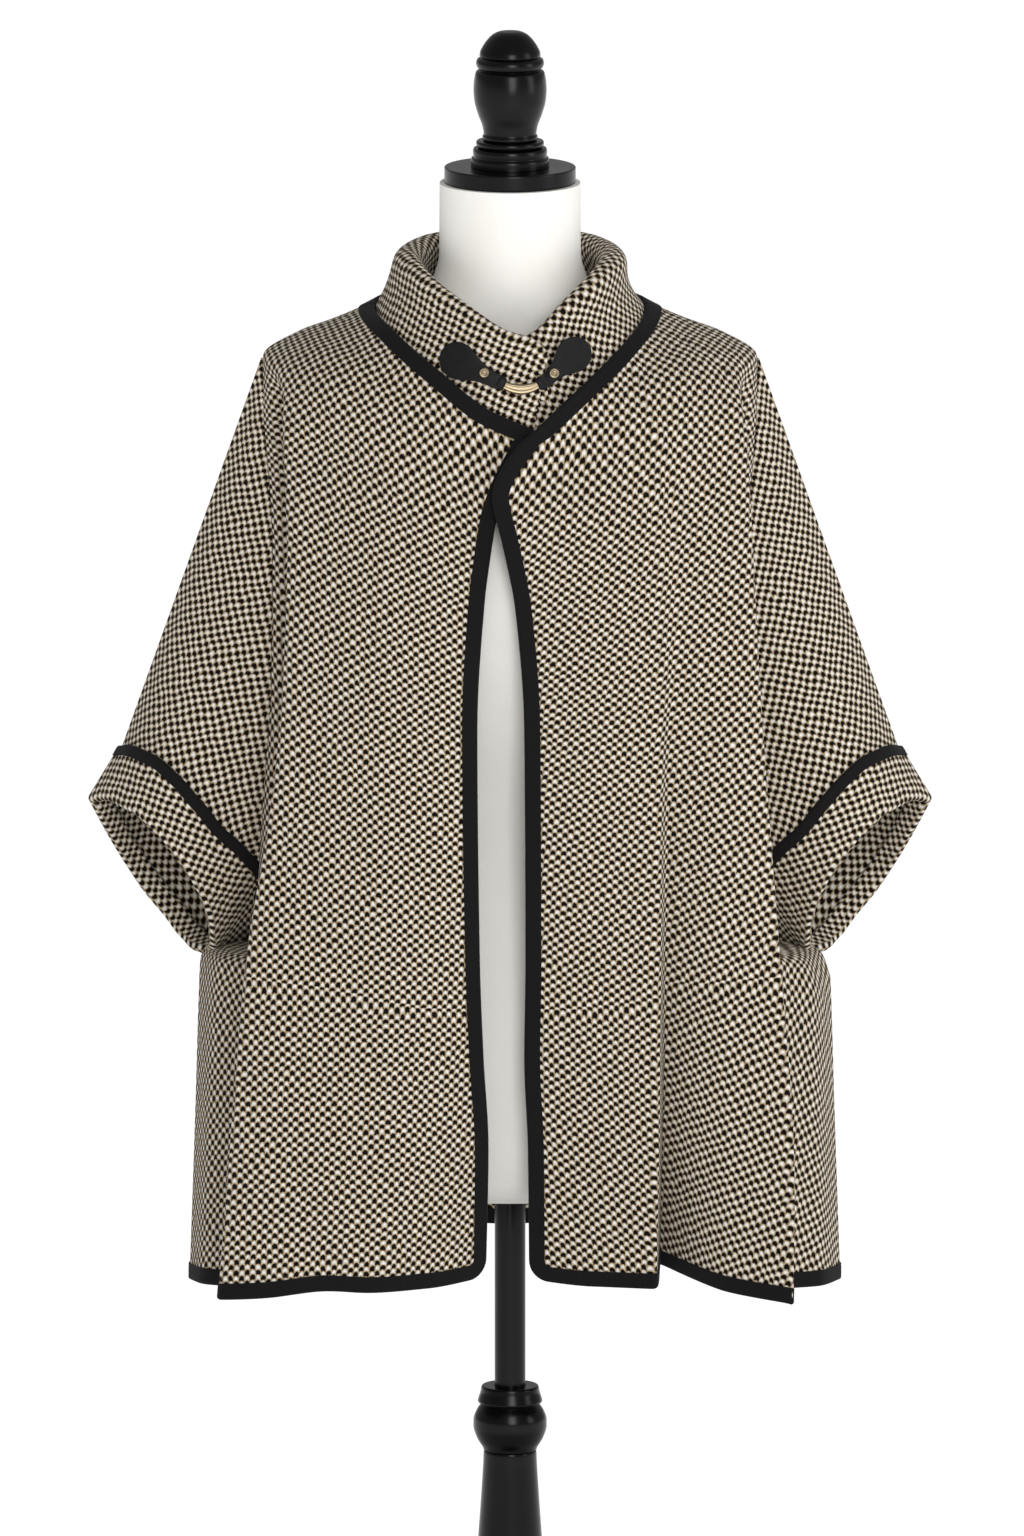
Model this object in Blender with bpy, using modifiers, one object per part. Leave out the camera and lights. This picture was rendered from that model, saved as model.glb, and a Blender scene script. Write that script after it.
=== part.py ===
"""Knit poncho on a limbless dress form and turned stand.

Metres, +Z up. The front faces -Y and the wearer's left is +X.
The origin is the centre of the flat underside of the base.
"""
import math

import bmesh
import bpy
import numpy as np
from mathutils import Vector
from mathutils.bvhtree import BVHTree
from mathutils.kdtree import KDTree

MM = 0.001

# ---- Driving sizes -------------------------------------------------------------------------
CLOTH = 2.5 * MM                # wall of the double-faced knit
TAPE = 1.0 * MM                 # wall of the black binding tape
TAPE_WIDTH = 12 * MM            # how far the tape reaches in from an edge
GAP = 0.3 * MM                  # between pieces that touch
TAPE_GAP = 0.5 * MM            # between the tape and the cloth it is folded over
TAPE_END = 1.6 * MM             # how far a tape stops short of a seam
SEAM_HALF = 0.5 * MM           # half the space left between two sewn edges
CHEST = 1.380                   # height at which the cloth starts to hang free
HEM = 0.680                     # nominal height of the hem
UNDERARM = 0.945                # height of the lowest point of the armhole
ROUND_STEPS = 24                # facets around turned wood

# ---- Tables, in millimetres ----------------------------------------------------------------
# The neckline in plan is an oval round the neck: half width, depth to the front, to the back.
NECK_OVAL = {"side": 113, "front": 121, "back": 88}
# Its height, against the angle from the centre (0) to the neck point of the shoulder (90).
NECK_HEIGHT = {
    ("front", "right"): ((-10, 1386), (12, 1406), (34, 1436), (53, 1455), (64, 1463), (90, 1471)),
    ("front", "left"): ((5, 1388), (17, 1397), (37, 1427), (53, 1446), (64, 1456), (90, 1471)),
    ("back", "right"): ((0, 1474), (45, 1474), (90, 1471)),
    ("back", "left"): ((0, 1474), (45, 1474), (90, 1471)),
}
# The left front laps over the right one at the throat: how far it stands forward there.
THROAT_LAP = 9

# Where the cloth turns over the end of the shoulder and the upper chest or back, for each
# landmark line of a half: share of the way along the neckline where the line starts, then
# out, forward, height of its turning point.
TURNING = {
    "front": {"edge": (0, 0, 128, 1344), "inner": (.20, 44, 124, 1356), "ridge": (.42, 88, 114, 1373),
              "dip": (.58, 116, 103, 1386), "outer": (.74, 149, 84, 1405), "crest": (.86, 181, 54, 1418),
              "valley": (.92, 191, 32, 1424), "turn": (.96, 198, 16, 1426), "seam": (1, 201, 0, 1428)},
    "back": {"edge": (0, 0, 105, 1412), "inner": (.20, 40, 104, 1412), "ridge": (.42, 82, 99, 1413),
             "dip": (.58, 112, 92, 1415), "outer": (.74, 148, 75, 1418), "crest": (.86, 180, 48, 1422),
             "valley": (.92, 191, 30, 1425), "turn": (.96, 198, 15, 1427), "seam": (1, 201, 0, 1428)},
}
# Height from which each landmark line hangs free.
FREE_FROM = {
    "front": (1296, 1308, 1330, 1346, 1364, 1376, 1380, 1380, 1380),
    "back": (1370, 1370, 1370, 1372, 1376, 1380, 1380, 1380, 1380),
}

# Free centre edge of each half: height, out, forward. The two fronts lap over each other
# at the throat, the left one outside, and part below it.
CENTRE_EDGE = {
    ("front", "right"): ((1380, -14, 122), (1338, 7, 128), (1318, 13, 130), (1250, 23, 136),
                         (1143, 29, 141), (952, 27, 143), (870, 24, 142), (794, 20, 138), (680, 22, 130)),
    ("front", "left"): ((1380, 5, 133), (1335, -13, 140), (1318, -10, 141), (1250, 5, 142),
                        (1143, 14, 142), (952, 15, 143), (870, 14, 142), (794, 17, 138), (680, 18, 130)),
    ("back", "right"): ((1380, 0, 111), (1280, 0, 121), (1060, 0, 134), (850, 0, 146), (680, 0, 156)),
    ("back", "left"): ((1380, 0, 111), (1280, 0, 121), (1060, 0, 134), (850, 0, 146), (680, 0, 156)),
}

# The long fold that hangs from each shoulder point: height, out, forward, depth behind it.
SHOULDER_FOLD = {
    ("front", "right"): ((1380, 189, 70, 28), (1280, 186, 99, 40), (1170, 190, 118, 48),
                         (1060, 202, 131, 50), (970, 214, 142, 48), (770, 228, 163, 50), (680, 237, 171, 55)),
    ("front", "left"): ((1380, 192, 70, 28), (1280, 197, 99, 40), (1170, 203, 118, 48),
                        (1060, 211, 132, 50), (970, 218, 143, 48), (770, 231, 165, 56), (680, 230, 177, 66)),
    ("back", "right"): ((1380, 187, 64, 24), (1280, 190, 92, 34), (1170, 196, 108, 40),
                        (1060, 204, 119, 44), (970, 212, 128, 44), (770, 225, 150, 46), (680, 231, 158, 50)),
    ("back", "left"): ((1380, 189, 64, 24), (1280, 194, 90, 32), (1170, 199, 105, 38),
                       (1060, 208, 117, 42), (970, 215, 127, 44), (770, 226, 146, 44), (680, 229, 156, 46)),
}

# The soft pleat between the centre edge and the shoulder fold: height, out of its ridge,
# out of its dip, depth of the dip, and how far the cloth bows forward there.
PLEAT = {
    ("front", "right"): ((1380, 98, 116, 0, 12), (1235, 96, 122, 1, 15), (1100, 98, 128, 2, 17),
                         (900, 104, 136, 3, 22), (680, 112, 150, 4, 32)),
    ("front", "left"): ((1380, 110, 130, 0, 12), (1235, 120, 136, 5, 14), (1100, 118, 130, 12, 12),
                        (850, 116, 132, 28, 4), (680, 110, 130, 60, -4)),
    ("back", "right"): ((1380, 84, 112, 0, 12), (1200, 88, 116, 4, 16), (1000, 92, 120, 12, 16),
                        (820, 96, 124, 24, 14), (680, 98, 126, 38, 12)),
    ("back", "left"): ((1380, 80, 106, 0, 12), (1200, 80, 108, 3, 16), (1000, 84, 112, 8, 18),
                       (820, 90, 122, 18, 18), (680, 92, 128, 26, 18)),
}

# The armhole from the shoulder point to the underarm, then the side seam: height, out,
# forward on a front, forward on a back (negative is behind the side line).
ARM_AND_SIDE = (
    (1380, 200, 20, -18), (1280, 193, 44, -38), (1170, 194, 55, -46), (1060, 202, 54, -48),
    (985, 206, 34, -32), (945, 208, 0, 0), (937, 223, 0, 0), (928, 240, 0, 0),
    (919, 250, 3, 3), (900, 254, 9, 9), (820, 257, 18, 18), (680, 262, 40, 40),
)
SIDE_WIDER_LEFT = 8             # how much further out the left side seam hangs below the underarm

# Height of the cut hem under each landmark of a half.
HEM_HEIGHT = {
    ("front", "right"): (688, 684, 684, 686, 681, 677, 675, 672, 670),
    ("front", "left"): (688, 684, 684, 693, 683, 677, 675, 672, 670),
    ("back", "right"): (676, 676, 676, 676, 676, 675, 674, 672, 670),
    ("back", "left"): (676, 676, 676, 676, 676, 675, 674, 672, 670),
}

# Cuff of a sleeve, right and left alike: where it is bound on to the sleeve, and its free
# folded edge. Share of the way from the top of the arm to the underarm, out, forward, height.
CUFF_SEAM = {
    "front": ((0, 318, 0, 1102), (.15, 306, 25, 1107), (.28, 290, 45, 1104), (.42, 271, 58, 1090),
              (.56, 253, 63, 1070), (.70, 236, 63, 1041), (.84, 225, 50, 1002), (.94, 222, 25, 966),
              (1, 223, 0, 950)),
    "back": ((0, 318, 0, 1102), (.20, 301, -36, 1062), (.42, 276, -56, 1022), (.60, 254, -58, 990),
             (.80, 235, -44, 964), (.93, 225, -18, 952), (1, 223, 0, 950)),
}
CUFF_EDGE = {
    "front": ((0, 342, 0, 1062), (.15, 327, 20, 1067), (.28, 306, 45, 1061), (.42, 286, 58, 1045),
              (.56, 268, 60, 1022), (.70, 253, 54, 995), (.84, 244, 37, 963), (.94, 243, 18, 943),
              (1, 247, 0, 935)),
    "back": ((0, 342, 0, 1062), (.20, 324, -30, 1022), (.42, 303, -50, 984), (.60, 284, -50, 960),
             (.80, 268, -35, 942), (.93, 256, -14, 935), (1, 247, 0, 935)),
}
CUFF_SHARE = 0.86               # where the cuff seam lies between armhole and free edge

# Collar: share of the way round from its outer end at the throat, over the wearer's right
# shoulder and the back, to its inner end. Crest out (+X is the wearer's left), forward,
# height; radius of the roll; how far the inside reaches down.
COLLAR = (
    (0.000, 29, 107, 1452, 3, 40), (0.035, 16, 108, 1465, 3, 44), (0.085, -6, 105, 1472, 4, 46),
    (0.150, -34, 92, 1488, 6, 42), (0.230, -66, 65, 1509, 9, 30), (0.320, -84, 12, 1525, 13, 21),
    (0.410, -64, -52, 1528, 13, 21), (0.500, 0, -84, 1529, 13, 22), (0.590, 64, -52, 1528, 13, 21),
    (0.680, 84, 12, 1525, 13, 21), (0.770, 67, 64, 1510, 9, 30), (0.860, 42, 84, 1490, 6, 42),
    (0.930, 20, 96, 1471, 4, 44), (1.000, -6, 98, 1456, 3, 40),
)
COLLAR_TUCK = 5.5 * MM          # how far inside the neckline the foot of the collar stands
INNER_END_TUCK = 11.0 * MM      # how much further its inner end stands, behind the outer one
FOOT_DROP = 9.0 * MM            # how far its foot reaches down behind the neckline, front and back
FOOT_DROP_ENDS = 98.0 * MM      # how far out that ends, where the shoulder lies close below

# Torso of the dress form: height, half width, depth to the front, depth to the back.
TORSO = (
    (741, 34, 22, 24), (743, 84, 54, 58), (750, 124, 82, 86), (765, 147, 98, 101),
    (800, 160, 107, 111), (880, 163, 109, 113), (960, 148, 104, 99), (1060, 124, 94, 80),
    (1150, 139, 108, 86), (1240, 157, 121, 95), (1300, 171, 113, 97), (1360, 182, 97, 95),
    (1405, 186, 82, 88), (1422, 183, 74, 84), (1436, 173, 68, 79), (1447, 154, 63, 73),
    (1457, 126, 59, 68), (1465, 101, 57.5, 64), (1475, 82, 57.5, 61), (1491, 65, 57.5, 58.5),
    (1515, 58, 57.5, 57.5), (1576.3, 57.5, 57.5, 57.5),
)
TORSO_SQUARE = 2.35             # exponent of its oval sections; 2 is an ellipse
TORSO_STEPS = 32

# Turned profiles of the stand: radius, height, from top to bottom.
FINIAL = (
    (0, 1703), (8, 1702), (16, 1697.5), (22, 1691), (25.5, 1684), (26, 1680.5), (24.5, 1679.5),
    (27.2, 1677), (28, 1674), (27.2, 1671), (25.6, 1668.8), (27.8, 1666.5), (29.4, 1659), (29.9, 1650),
    (29.2, 1641), (26.6, 1631), (22.6, 1620), (21.6, 1614), (22.6, 1611.5), (22.4, 1609.5), (21.4, 1608.6),
    (27, 1608), (27.8, 1606), (27, 1603.4), (25.6, 1602.6), (29.6, 1602), (30.4, 1599), (30, 1595),
    (31.5, 1594), (32, 1592), (32, 1586.9), (0, 1586.9),
)
CAP = ((0, 1586.6), (52.5, 1586.6), (53.7, 1585.6), (53.7, 1577.8), (52.7, 1576.6), (0, 1576.6))
KNOB = (
    (13.1, 570.2), (23, 570.2), (24.6, 568.8), (24.8, 564), (26.4, 561), (26.8, 559), (25, 557.6),
    (23.6, 556), (27.6, 549.5), (30.2, 542), (30.3, 536), (27.4, 526.5), (22.6, 518.6), (21.6, 516.4),
    (13.1, 516.4),
)
COLUMN = (
    (13.1, 516.1), (20.6, 516.1), (21.8, 514.6), (22.2, 505), (24.4, 470), (26.1, 446), (30.2, 380),
    (34.6, 270), (38.6, 150), (43, 80), (50, 52), (52, 44), (52, 32.3), (13.1, 32.3),
)
BASE = (
    (0, 32), (140, 32), (160, 31), (172, 27), (178, 20), (179.6, 12), (179, 3), (176, 0), (0, 0),
)
POLE_RADIUS = 12.7 * MM
POLE_FOOT = 32.6 * MM

# Leather tabs of the closure: centre of the round end and end of the strap, as out (+X is
# the wearer's left) and height; then its half width, the strap's half width.
TABS = {
    "tab_right": ((-42, 1449), (-8, 1427), 15, 6),
    "tab_left": ((50, 1450), (27.5, 1427), 15, 6),
}
TAB_WALL = 2.0 * MM
STUDS = {"stud_right": (-21, 1435.5), "stud_left": (36, 1435)}
CLASP = ((-3.6, 1426.5), (9.6, 1422), (22.8, 1426.5))


# ---- Scene ---------------------------------------------------------------------------------
for old in list(bpy.data.objects):
    bpy.data.objects.remove(old, do_unlink=True)
PONCHO = bpy.data.collections.new("knit_poncho")
bpy.context.scene.collection.children.link(PONCHO)


def material(name, colour, roughness, metallic=0.0):
    """A Principled surface of one linear colour."""
    made = bpy.data.materials.new(name)
    made.use_nodes = True
    shader = made.node_tree.nodes["Principled BSDF"]
    shader.inputs["Base Color"].default_value = (*colour, 1.0)
    shader.inputs["Roughness"].default_value = roughness
    shader.inputs["Metallic"].default_value = metallic
    return made


KNIT = (0.37, 0.30, 0.21)
BLACK_TAPE = (0.012, 0.011, 0.012)
JERSEY = (0.80, 0.77, 0.72)
BLACK_WOOD = (0.010, 0.010, 0.011)
LEATHER = (0.014, 0.013, 0.013)
BRASS = (0.62, 0.46, 0.26)


def add_object(name, mesh, surface):
    """Put a mesh in the collection with its own material."""
    made = bpy.data.objects.new(name, mesh)
    PONCHO.objects.link(made)
    mesh.materials.append(surface)
    return made


# ---- Curves through tables -----------------------------------------------------------------
def smooth_through(knots, values, where):
    """Cubic through values at rising knots that never overshoots them, read at where."""
    knots = np.asarray(knots, float)
    values = np.asarray(values, float).reshape(len(knots), -1)
    where = np.atleast_1d(np.asarray(where, float))
    step = np.diff(knots)[:, None]
    rise = np.diff(values, axis=0) / step
    slope = np.empty_like(values)
    slope[0] = rise[0]
    slope[-1] = rise[-1]
    before, after = rise[:-1], rise[1:]
    same_way = before * after > 0
    weight_a = 2 * step[1:] + step[:-1]
    weight_b = step[1:] + 2 * step[:-1]
    safe_before = np.where(same_way, before, 1.0)
    safe_after = np.where(same_way, after, 1.0)
    mean = (weight_a + weight_b) / (weight_a / safe_before + weight_b / safe_after)
    slope[1:-1] = np.where(same_way, mean, 0.0)
    i = np.clip(np.searchsorted(knots, where, side="right") - 1, 0, len(step) - 1)
    t = ((where - knots[i]) / step[i, 0])[:, None]
    return (values[i] * (2 * t**3 - 3 * t**2 + 1) + slope[i] * step[i] * (t**3 - 2 * t**2 + t)
            + values[i + 1] * (3 * t**2 - 2 * t**3) + slope[i + 1] * step[i] * (t**3 - t**2))


def by_height(table, height):
    """Read a table whose first column is a falling height in millimetres."""
    rows = np.asarray(table, float)[::-1]
    return smooth_through(rows[:, 0], rows[:, 1:], height / MM)[0]


def by_share(table, share):
    """Read a table whose first column is a rising share of the way."""
    rows = np.asarray(table, float)
    return smooth_through(rows[:, 0], rows[:, 1:], share)


# ---- The hanging cloth ---------------------------------------------------------------------
# A half of the body cloth has nine landmark lines that run from the neckline to the hem. The
# first is the centre edge, the last runs along the shoulder seam, the armhole and the side
# seam. A place is given by how far across these lines it is (0 to 8) and how far down: 0 to
# 0.75 lies over the shoulder, 0.75 to 1 turns down, 1 to 2 hangs from the chest to the hem.
EDGE, INNER, RIDGE, DIP, OUTER, CREST, VALLEY, TURN, SEAM = range(9)


def side_sign(side):
    """+1 on the wearer's left, -1 on the right."""
    return 1 if side == "left" else -1


def neck_points(face, side, along):
    """Points of the neckline at shares of the way from the centre to the shoulder."""
    table = NECK_HEIGHT[face, side]
    first = table[0][0]
    angle = first + (90 - first) * np.asarray(along, float)
    out = NECK_OVAL["side"] * np.sin(np.radians(angle))
    forward = NECK_OVAL[face] * np.cos(np.radians(angle)) + SEAM_HALF / MM
    if (face, side) == ("front", "left"):
        forward = forward + THROAT_LAP * np.clip(1 - (angle - first) / 45, 0, 1)**2
    height = smooth_through(*np.asarray(table, float).T, angle)[:, 0]
    return np.column_stack([out, forward, height])


def hanging_point(face, side, line, height):
    """One landmark of a half at a height below the chest: out, forward."""
    edge = by_height(CENTRE_EDGE[face, side], height)
    if line == EDGE:
        return edge
    crest_out, crest_forward, depth = by_height(SHOULDER_FOLD[face, side], height)
    if line == CREST:
        return crest_out, crest_forward
    if line > CREST:
        seam_out, seam_front, seam_back = by_height(ARM_AND_SIDE, height)
        if side == "left":
            seam_out += SIDE_WIDER_LEFT * np.clip((UNDERARM - height) / 0.03, 0, 1)
        seam_forward = (seam_front if face == "front" else -seam_back) + SEAM_HALF / MM
        if line == SEAM:
            return seam_out, seam_forward
        valley = (crest_out - 7 - 0.06 * depth, crest_forward - depth)
        if line == VALLEY:
            return valley
        return (valley[0] + 0.72 * (seam_out - valley[0]), valley[1] + 0.5 * (seam_forward - valley[1]))
    ridge_out, dip_out, dip_depth, bow = by_height(PLEAT[face, side], height)
    out = {INNER: edge[0] + 0.5 * (ridge_out - edge[0]), RIDGE: ridge_out, DIP: dip_out,
           OUTER: dip_out + 0.52 * (crest_out - dip_out)}[line]
    share = (out - edge[0]) / (crest_out - edge[0])
    forward = edge[1] + (crest_forward - edge[1]) * share + bow * math.sin(math.pi * share)**0.8
    forward -= dip_depth * {DIP: 1.0, OUTER: 0.12}.get(line, 0.0)
    return out, forward


# Shares of the way from the neckline to the turning point of the two rows between, and
# how much of the drop in height the shoulder has made there.
BETWEEN = ((0.25, 0.38, 0.30), (0.5, 0.72, 0.56))


def landmark_line(face, side, line, down):
    """One landmark line of a half in metres, at places down from the neckline (0 to 2)."""
    name = ("edge", "inner", "ridge", "dip", "outer", "crest", "valley", "turn", "seam")[line]
    along, *turning = TURNING[face][name]
    turning = np.array(turning, float)
    neck = neck_points(face, side, [along])[0]
    start, hem = FREE_FROM[face][line], HEM_HEIGHT[face, side][line]
    if line == EDGE and face == "front":
        turning[:2] = by_height(CENTRE_EDGE[face, side], turning[2] * MM)
    if line == SEAM:
        turning[1] = SEAM_HALF / MM

    def free(place):
        nominal = start - (place - 1) * (start - HEM / MM)
        out, forward = hanging_point(face, side, line, nominal * MM)
        return out, forward, nominal + (hem - HEM / MM) * (place - 1)**4

    knots = [(0, *neck)]
    for place, share, drop in BETWEEN:
        level = min(1.0, along / 0.74)
        fall = share + (drop - share) * level
        knots.append((place, *(neck[:2] + (turning[:2] - neck[:2]) * share),
                      neck[2] + (turning[2] - neck[2]) * fall))
    knots.append((0.75, *turning))
    knots += [(place, *free(place)) for place in (1, 1.12, 1.24)]
    knots = np.array(knots)
    down = np.asarray(down, float)
    upper = smooth_through(knots[:, 0], knots[:, 1:], np.minimum(down, 1))
    lower = np.array([free(max(place, 1)) for place in down])
    line_mm = np.where(down[:, None] < 1, upper, lower)
    front = -1 if face == "front" else 1
    return line_mm * [side_sign(side) * MM, front * MM, MM]


def half_cloth(face, side, across, down):
    """Grid of points, one row for each place down and one column for each place across."""
    lines = np.array([landmark_line(face, side, line, down) for line in range(9)])
    return np.array([smooth_through(range(9), lines[:, row], across) for row in range(len(down))])


def down_at(height):
    """How far down the cloth a height below the chest lies."""
    return 1 + (CHEST - height) / (CHEST - HEM)


SHOULDER_ROWS = [0.0, 0.1, 0.25, 0.5, 0.75, 1.0]
FREE_ROWS = [down_at(h) for h in (1.325, 1.26, 1.18, 1.10, 1.04, 0.985, UNDERARM, 0.935, 0.922, 0.90,
                                  0.80, HEM + TAPE_WIDTH, HEM)]
ROWS = SHOULDER_ROWS + FREE_ROWS
ARM_ROWS = [row for row in ROWS if 0.75 <= row <= down_at(UNDERARM) + 1e-9]
ACROSS = [0, 0.2, 0.6, 1, 1.5, 2, 2.5, 3, 3.5, 4, 4.5, 5, 5.5, 6, 7, 8]
BACK_ACROSS = [0, 1, 1.5, 2, 2.5, 3, 3.5, 4, 4.5, 5, 5.5, 6, 7, 8]


# ---- Meshes from grids ---------------------------------------------------------------------
def parity(rows, columns):
    """0 or 1 for each point of a grid, alternating like a chessboard."""
    return np.add.outer(np.arange(rows), np.arange(columns)) % 2


def grid_mesh(name, points, ring=False, flip=False):
    """A sheet of triangles on a grid of points; a ring closes its last column on its first.

    Each cell is split between its two even points, so that a tape laid on the same points
    bends along the same lines. Returns the mesh and, for each point of the grid, which of
    its vertices lies there.
    """
    rows, columns = points.shape[:2]
    odd = parity(rows, columns)
    bm = bmesh.new()
    bmesh.ops.create_grid(bm, x_segments=columns - 1, y_segments=rows - 1, size=0.5)
    bm.verts.ensure_lookup_table()
    place = np.array([v.co[:] for v in bm.verts])
    column = np.rint((place[:, 0] + 0.5) * (columns - 1)).astype(int)
    row = np.rint((place[:, 1] + 0.5) * (rows - 1)).astype(int)
    even = {vert for vert, r, c in zip(bm.verts, row, column) if not odd[r, c]}
    for face in list(bm.faces):
        a, b, c, d = face.verts
        bmesh.utils.face_split(face, *((a, c) if a in even and c in even else (b, d)))
    for vert, r, c in zip(bm.verts, row, column):
        vert.co = points[r, c]
    if flip:
        bmesh.ops.reverse_faces(bm, faces=bm.faces)
    if ring:
        bmesh.ops.remove_doubles(bm, verts=bm.verts, dist=1e-6)
    bm.verts.ensure_lookup_table()
    tree = KDTree(len(bm.verts))
    for i, vert in enumerate(bm.verts):
        tree.insert(vert.co, i)
    tree.balance()
    index = np.array([[tree.find(point)[1] for point in line] for line in points])
    mesh = bpy.data.meshes.new(name)
    bm.to_mesh(mesh)
    bm.free()
    return mesh, index


def wall(target, thickness):
    """Give an open sheet its thickness, half to each side."""
    solid = target.modifiers.new("wall", "SOLIDIFY")
    solid.thickness = thickness
    solid.offset = 0
    solid.use_even_offset = True
    return target


def cloth_piece(name, points, ring=False, flip=False):
    """One cut piece of knit.

    Returns, for each point of its grid, the way across the cloth for what is sewn on to it,
    as long as it takes to keep an even wall at that bend.
    """
    mesh, index = grid_mesh(name, points, ring, flip)
    piece = wall(add_object(name, mesh, material(name, KNIT, 0.92)), CLOTH)
    bpy.context.view_layer.update()
    solid = piece.evaluated_get(bpy.context.evaluated_depsgraph_get()).to_mesh()
    skins = np.array([vert.co for vert in solid.vertices]).reshape(2, -1, 3)
    return ((skins[0] - skins[1]) / CLOTH)[index]


def tape(name, strip, ring=False, legs=2):
    """Binding folded over a cut edge, one section for each place along it.

    strip holds rows for the places along the edge: the points on the edge, the points one
    tape width inside it, the ways across the cloth at both and their parities.
    """
    edge, inward, edge_across, inner_across, edge_odd, inner_odd = strip
    near = CLOTH / 2 + TAPE_GAP
    far = near + TAPE
    over = (inward - edge) / TAPE_WIDTH
    lip, rim = edge - over * TAPE_GAP, edge - over * (TAPE_GAP + TAPE)
    section = [inward + inner_across * near, inward + inner_across * far, rim + edge_across * far]
    odd = [inner_odd, inner_odd, edge_odd]
    if legs == 2:
        section += [rim - edge_across * far, inward - inner_across * far,
                    inward - inner_across * near, lip - edge_across * near]
        odd += [edge_odd, inner_odd, inner_odd, edge_odd]
    else:
        section += [rim, lip]
        odd += [edge_odd, edge_odd]
    section.append(lip + edge_across * near)
    odd.append(edge_odd)
    if ring:
        section, odd = [line[:-1] for line in section], [line[:-1] for line in odd]
    around, along = len(section), len(section[0])
    faces = []
    for i in range(along if ring else along - 1):
        j = (i + 1) % along
        for side in range(around):
            after = (side + 1) % around
            a, b = (side, i), (after, i)
            c, d = (after, j), (side, j)
            if odd[side][i] or odd[after][j]:
                corners = (b, c, d), (b, d, a)
            else:
                corners = (a, b, c), (a, c, d)
            faces += [[around * place + line for line, place in face] for face in corners]
    if not ring:
        for i in (0, along - 1):
            low, high = 0, around - 1
            faces.append([around * i + line for line in (1, 2, high, low)])
            if legs == 2:
                faces.append([around * i + line for line in (2, 3, high - 1, high)])
                faces.append([around * i + line for line in (3, 4, 5, high - 1)])
    bm = bmesh.new()
    verts = [bm.verts.new(point) for point in np.stack(section, axis=1).reshape(-1, 3)]
    for face in faces:
        bm.faces.new([verts[i] for i in face])
    bmesh.ops.recalc_face_normals(bm, faces=bm.faces)
    mesh = bpy.data.meshes.new(name)
    bm.to_mesh(mesh)
    bm.free()
    add_object(name, mesh, material(name, BLACK_TAPE, 0.85))


def tape_line(points, edge_line, tape_to, far_line):
    """Move a grid line to one tape width from the edge, on the chord to the line behind it."""
    step = points[far_line] - points[edge_line]
    points[tape_to] = points[edge_line] + step * (TAPE_WIDTH / np.linalg.norm(step, axis=-1))[..., None]


def strip_along(points, normals, edge_line, tape_at):
    """Rows for a tape along one edge of a grid."""
    odd = parity(*points.shape[:2])
    return [grid[place].copy() for grid in (points, normals, odd) for place in (edge_line, tape_at)]


def stop_short(strip, *ends):
    """Draw the ends of a strip (0 first, -1 last) back from the seams they lie at."""
    for end in ends:
        beside = 1 if end == 0 else -2
        share = TAPE_END / np.linalg.norm(strip[0][beside] - strip[0][end])
        for line in strip[:4]:
            line[end] = line[end] + (line[beside] - line[end]) * share
    return strip


# ---- Front, back and their bindings --------------------------------------------------------
ALL = slice(None)


def front_piece(side):
    """One front with the tape that runs round its neckline, centre edge and hem."""
    points = half_cloth("front", side, ACROSS, ROWS)
    # The lower front corner is rounded off.
    points[-1, 0] += 0.22 * TAPE_WIDTH * np.array([side_sign(side), 0, 1])
    tape_line(points, (ALL, 0), (ALL, 1), (ALL, 2))
    tape_line(points, -1, -2, -3)
    tape_line(points, 0, 1, 2)
    normals = cloth_piece("front_" + side, points, flip=side == "left")
    neck = slice(None, 1, -1)
    strips = [
        strip_along(points, normals, (0, neck), (1, neck)),
        strip_along(points, normals, (slice(0, 1), 0), (slice(1, 2), 1)),
        strip_along(points, normals, (slice(2, -2), 0), (slice(2, -2), 1)),
        strip_along(points, normals, (slice(-1, None), 0), (slice(-2, -1), 1)),
        strip_along(points, normals, (-1, slice(2, None)), (-2, slice(2, None))),
    ]
    tape("binding_front_" + side,
         stop_short([np.concatenate(lines) for lines in zip(*strips)], 0, -1))
    return points


def back_piece():
    """The back in one piece, with the tape of its neckline and that of its hem."""
    right = half_cloth("back", "right", BACK_ACROSS, ROWS)[:, ::-1]
    left = half_cloth("back", "left", BACK_ACROSS, ROWS)
    points = np.concatenate([right, left[:, 1:]], axis=1)
    tape_line(points, -1, -2, -3)
    tape_line(points, 0, 1, 2)
    normals = cloth_piece("back", points)
    for name, edge_line, tape_at in (("binding_back_neck", 0, 1), ("binding_back_hem", -1, -2)):
        tape(name, stop_short(strip_along(points, normals, edge_line, tape_at), 0, -1))
    return points


# ---- Sleeves -------------------------------------------------------------------------------
SLEEVE_ROWS = (0.0, 0.2, 0.42, 0.64, CUFF_SHARE, 0.89, 1.0)
ARM_CLEAR = 2.5 * MM            # the sleeve starts this far outside the body cloth's own wall
UNDERARM_CLEAR = 3.2 * MM       # and this far above it at the underarm


def cuff_line(table, side, face, shares):
    """Points of a cuff line on one face of the sleeve."""
    out, forward, height = by_share(table[face], shares).T
    return np.column_stack([side_sign(side) * out, -forward, height]) * MM


def arm_line(side, face):
    """The armhole on one face, top to underarm, and the share of the way at each point."""
    line = landmark_line(face, side, SEAM, ARM_ROWS)
    line[:, 0] += side_sign(side) * ARM_CLEAR
    line[-1, 2] += UNDERARM_CLEAR
    length = np.concatenate([[0], np.cumsum(np.linalg.norm(np.diff(line, axis=0), axis=1))])
    return line, length / length[-1]


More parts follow.
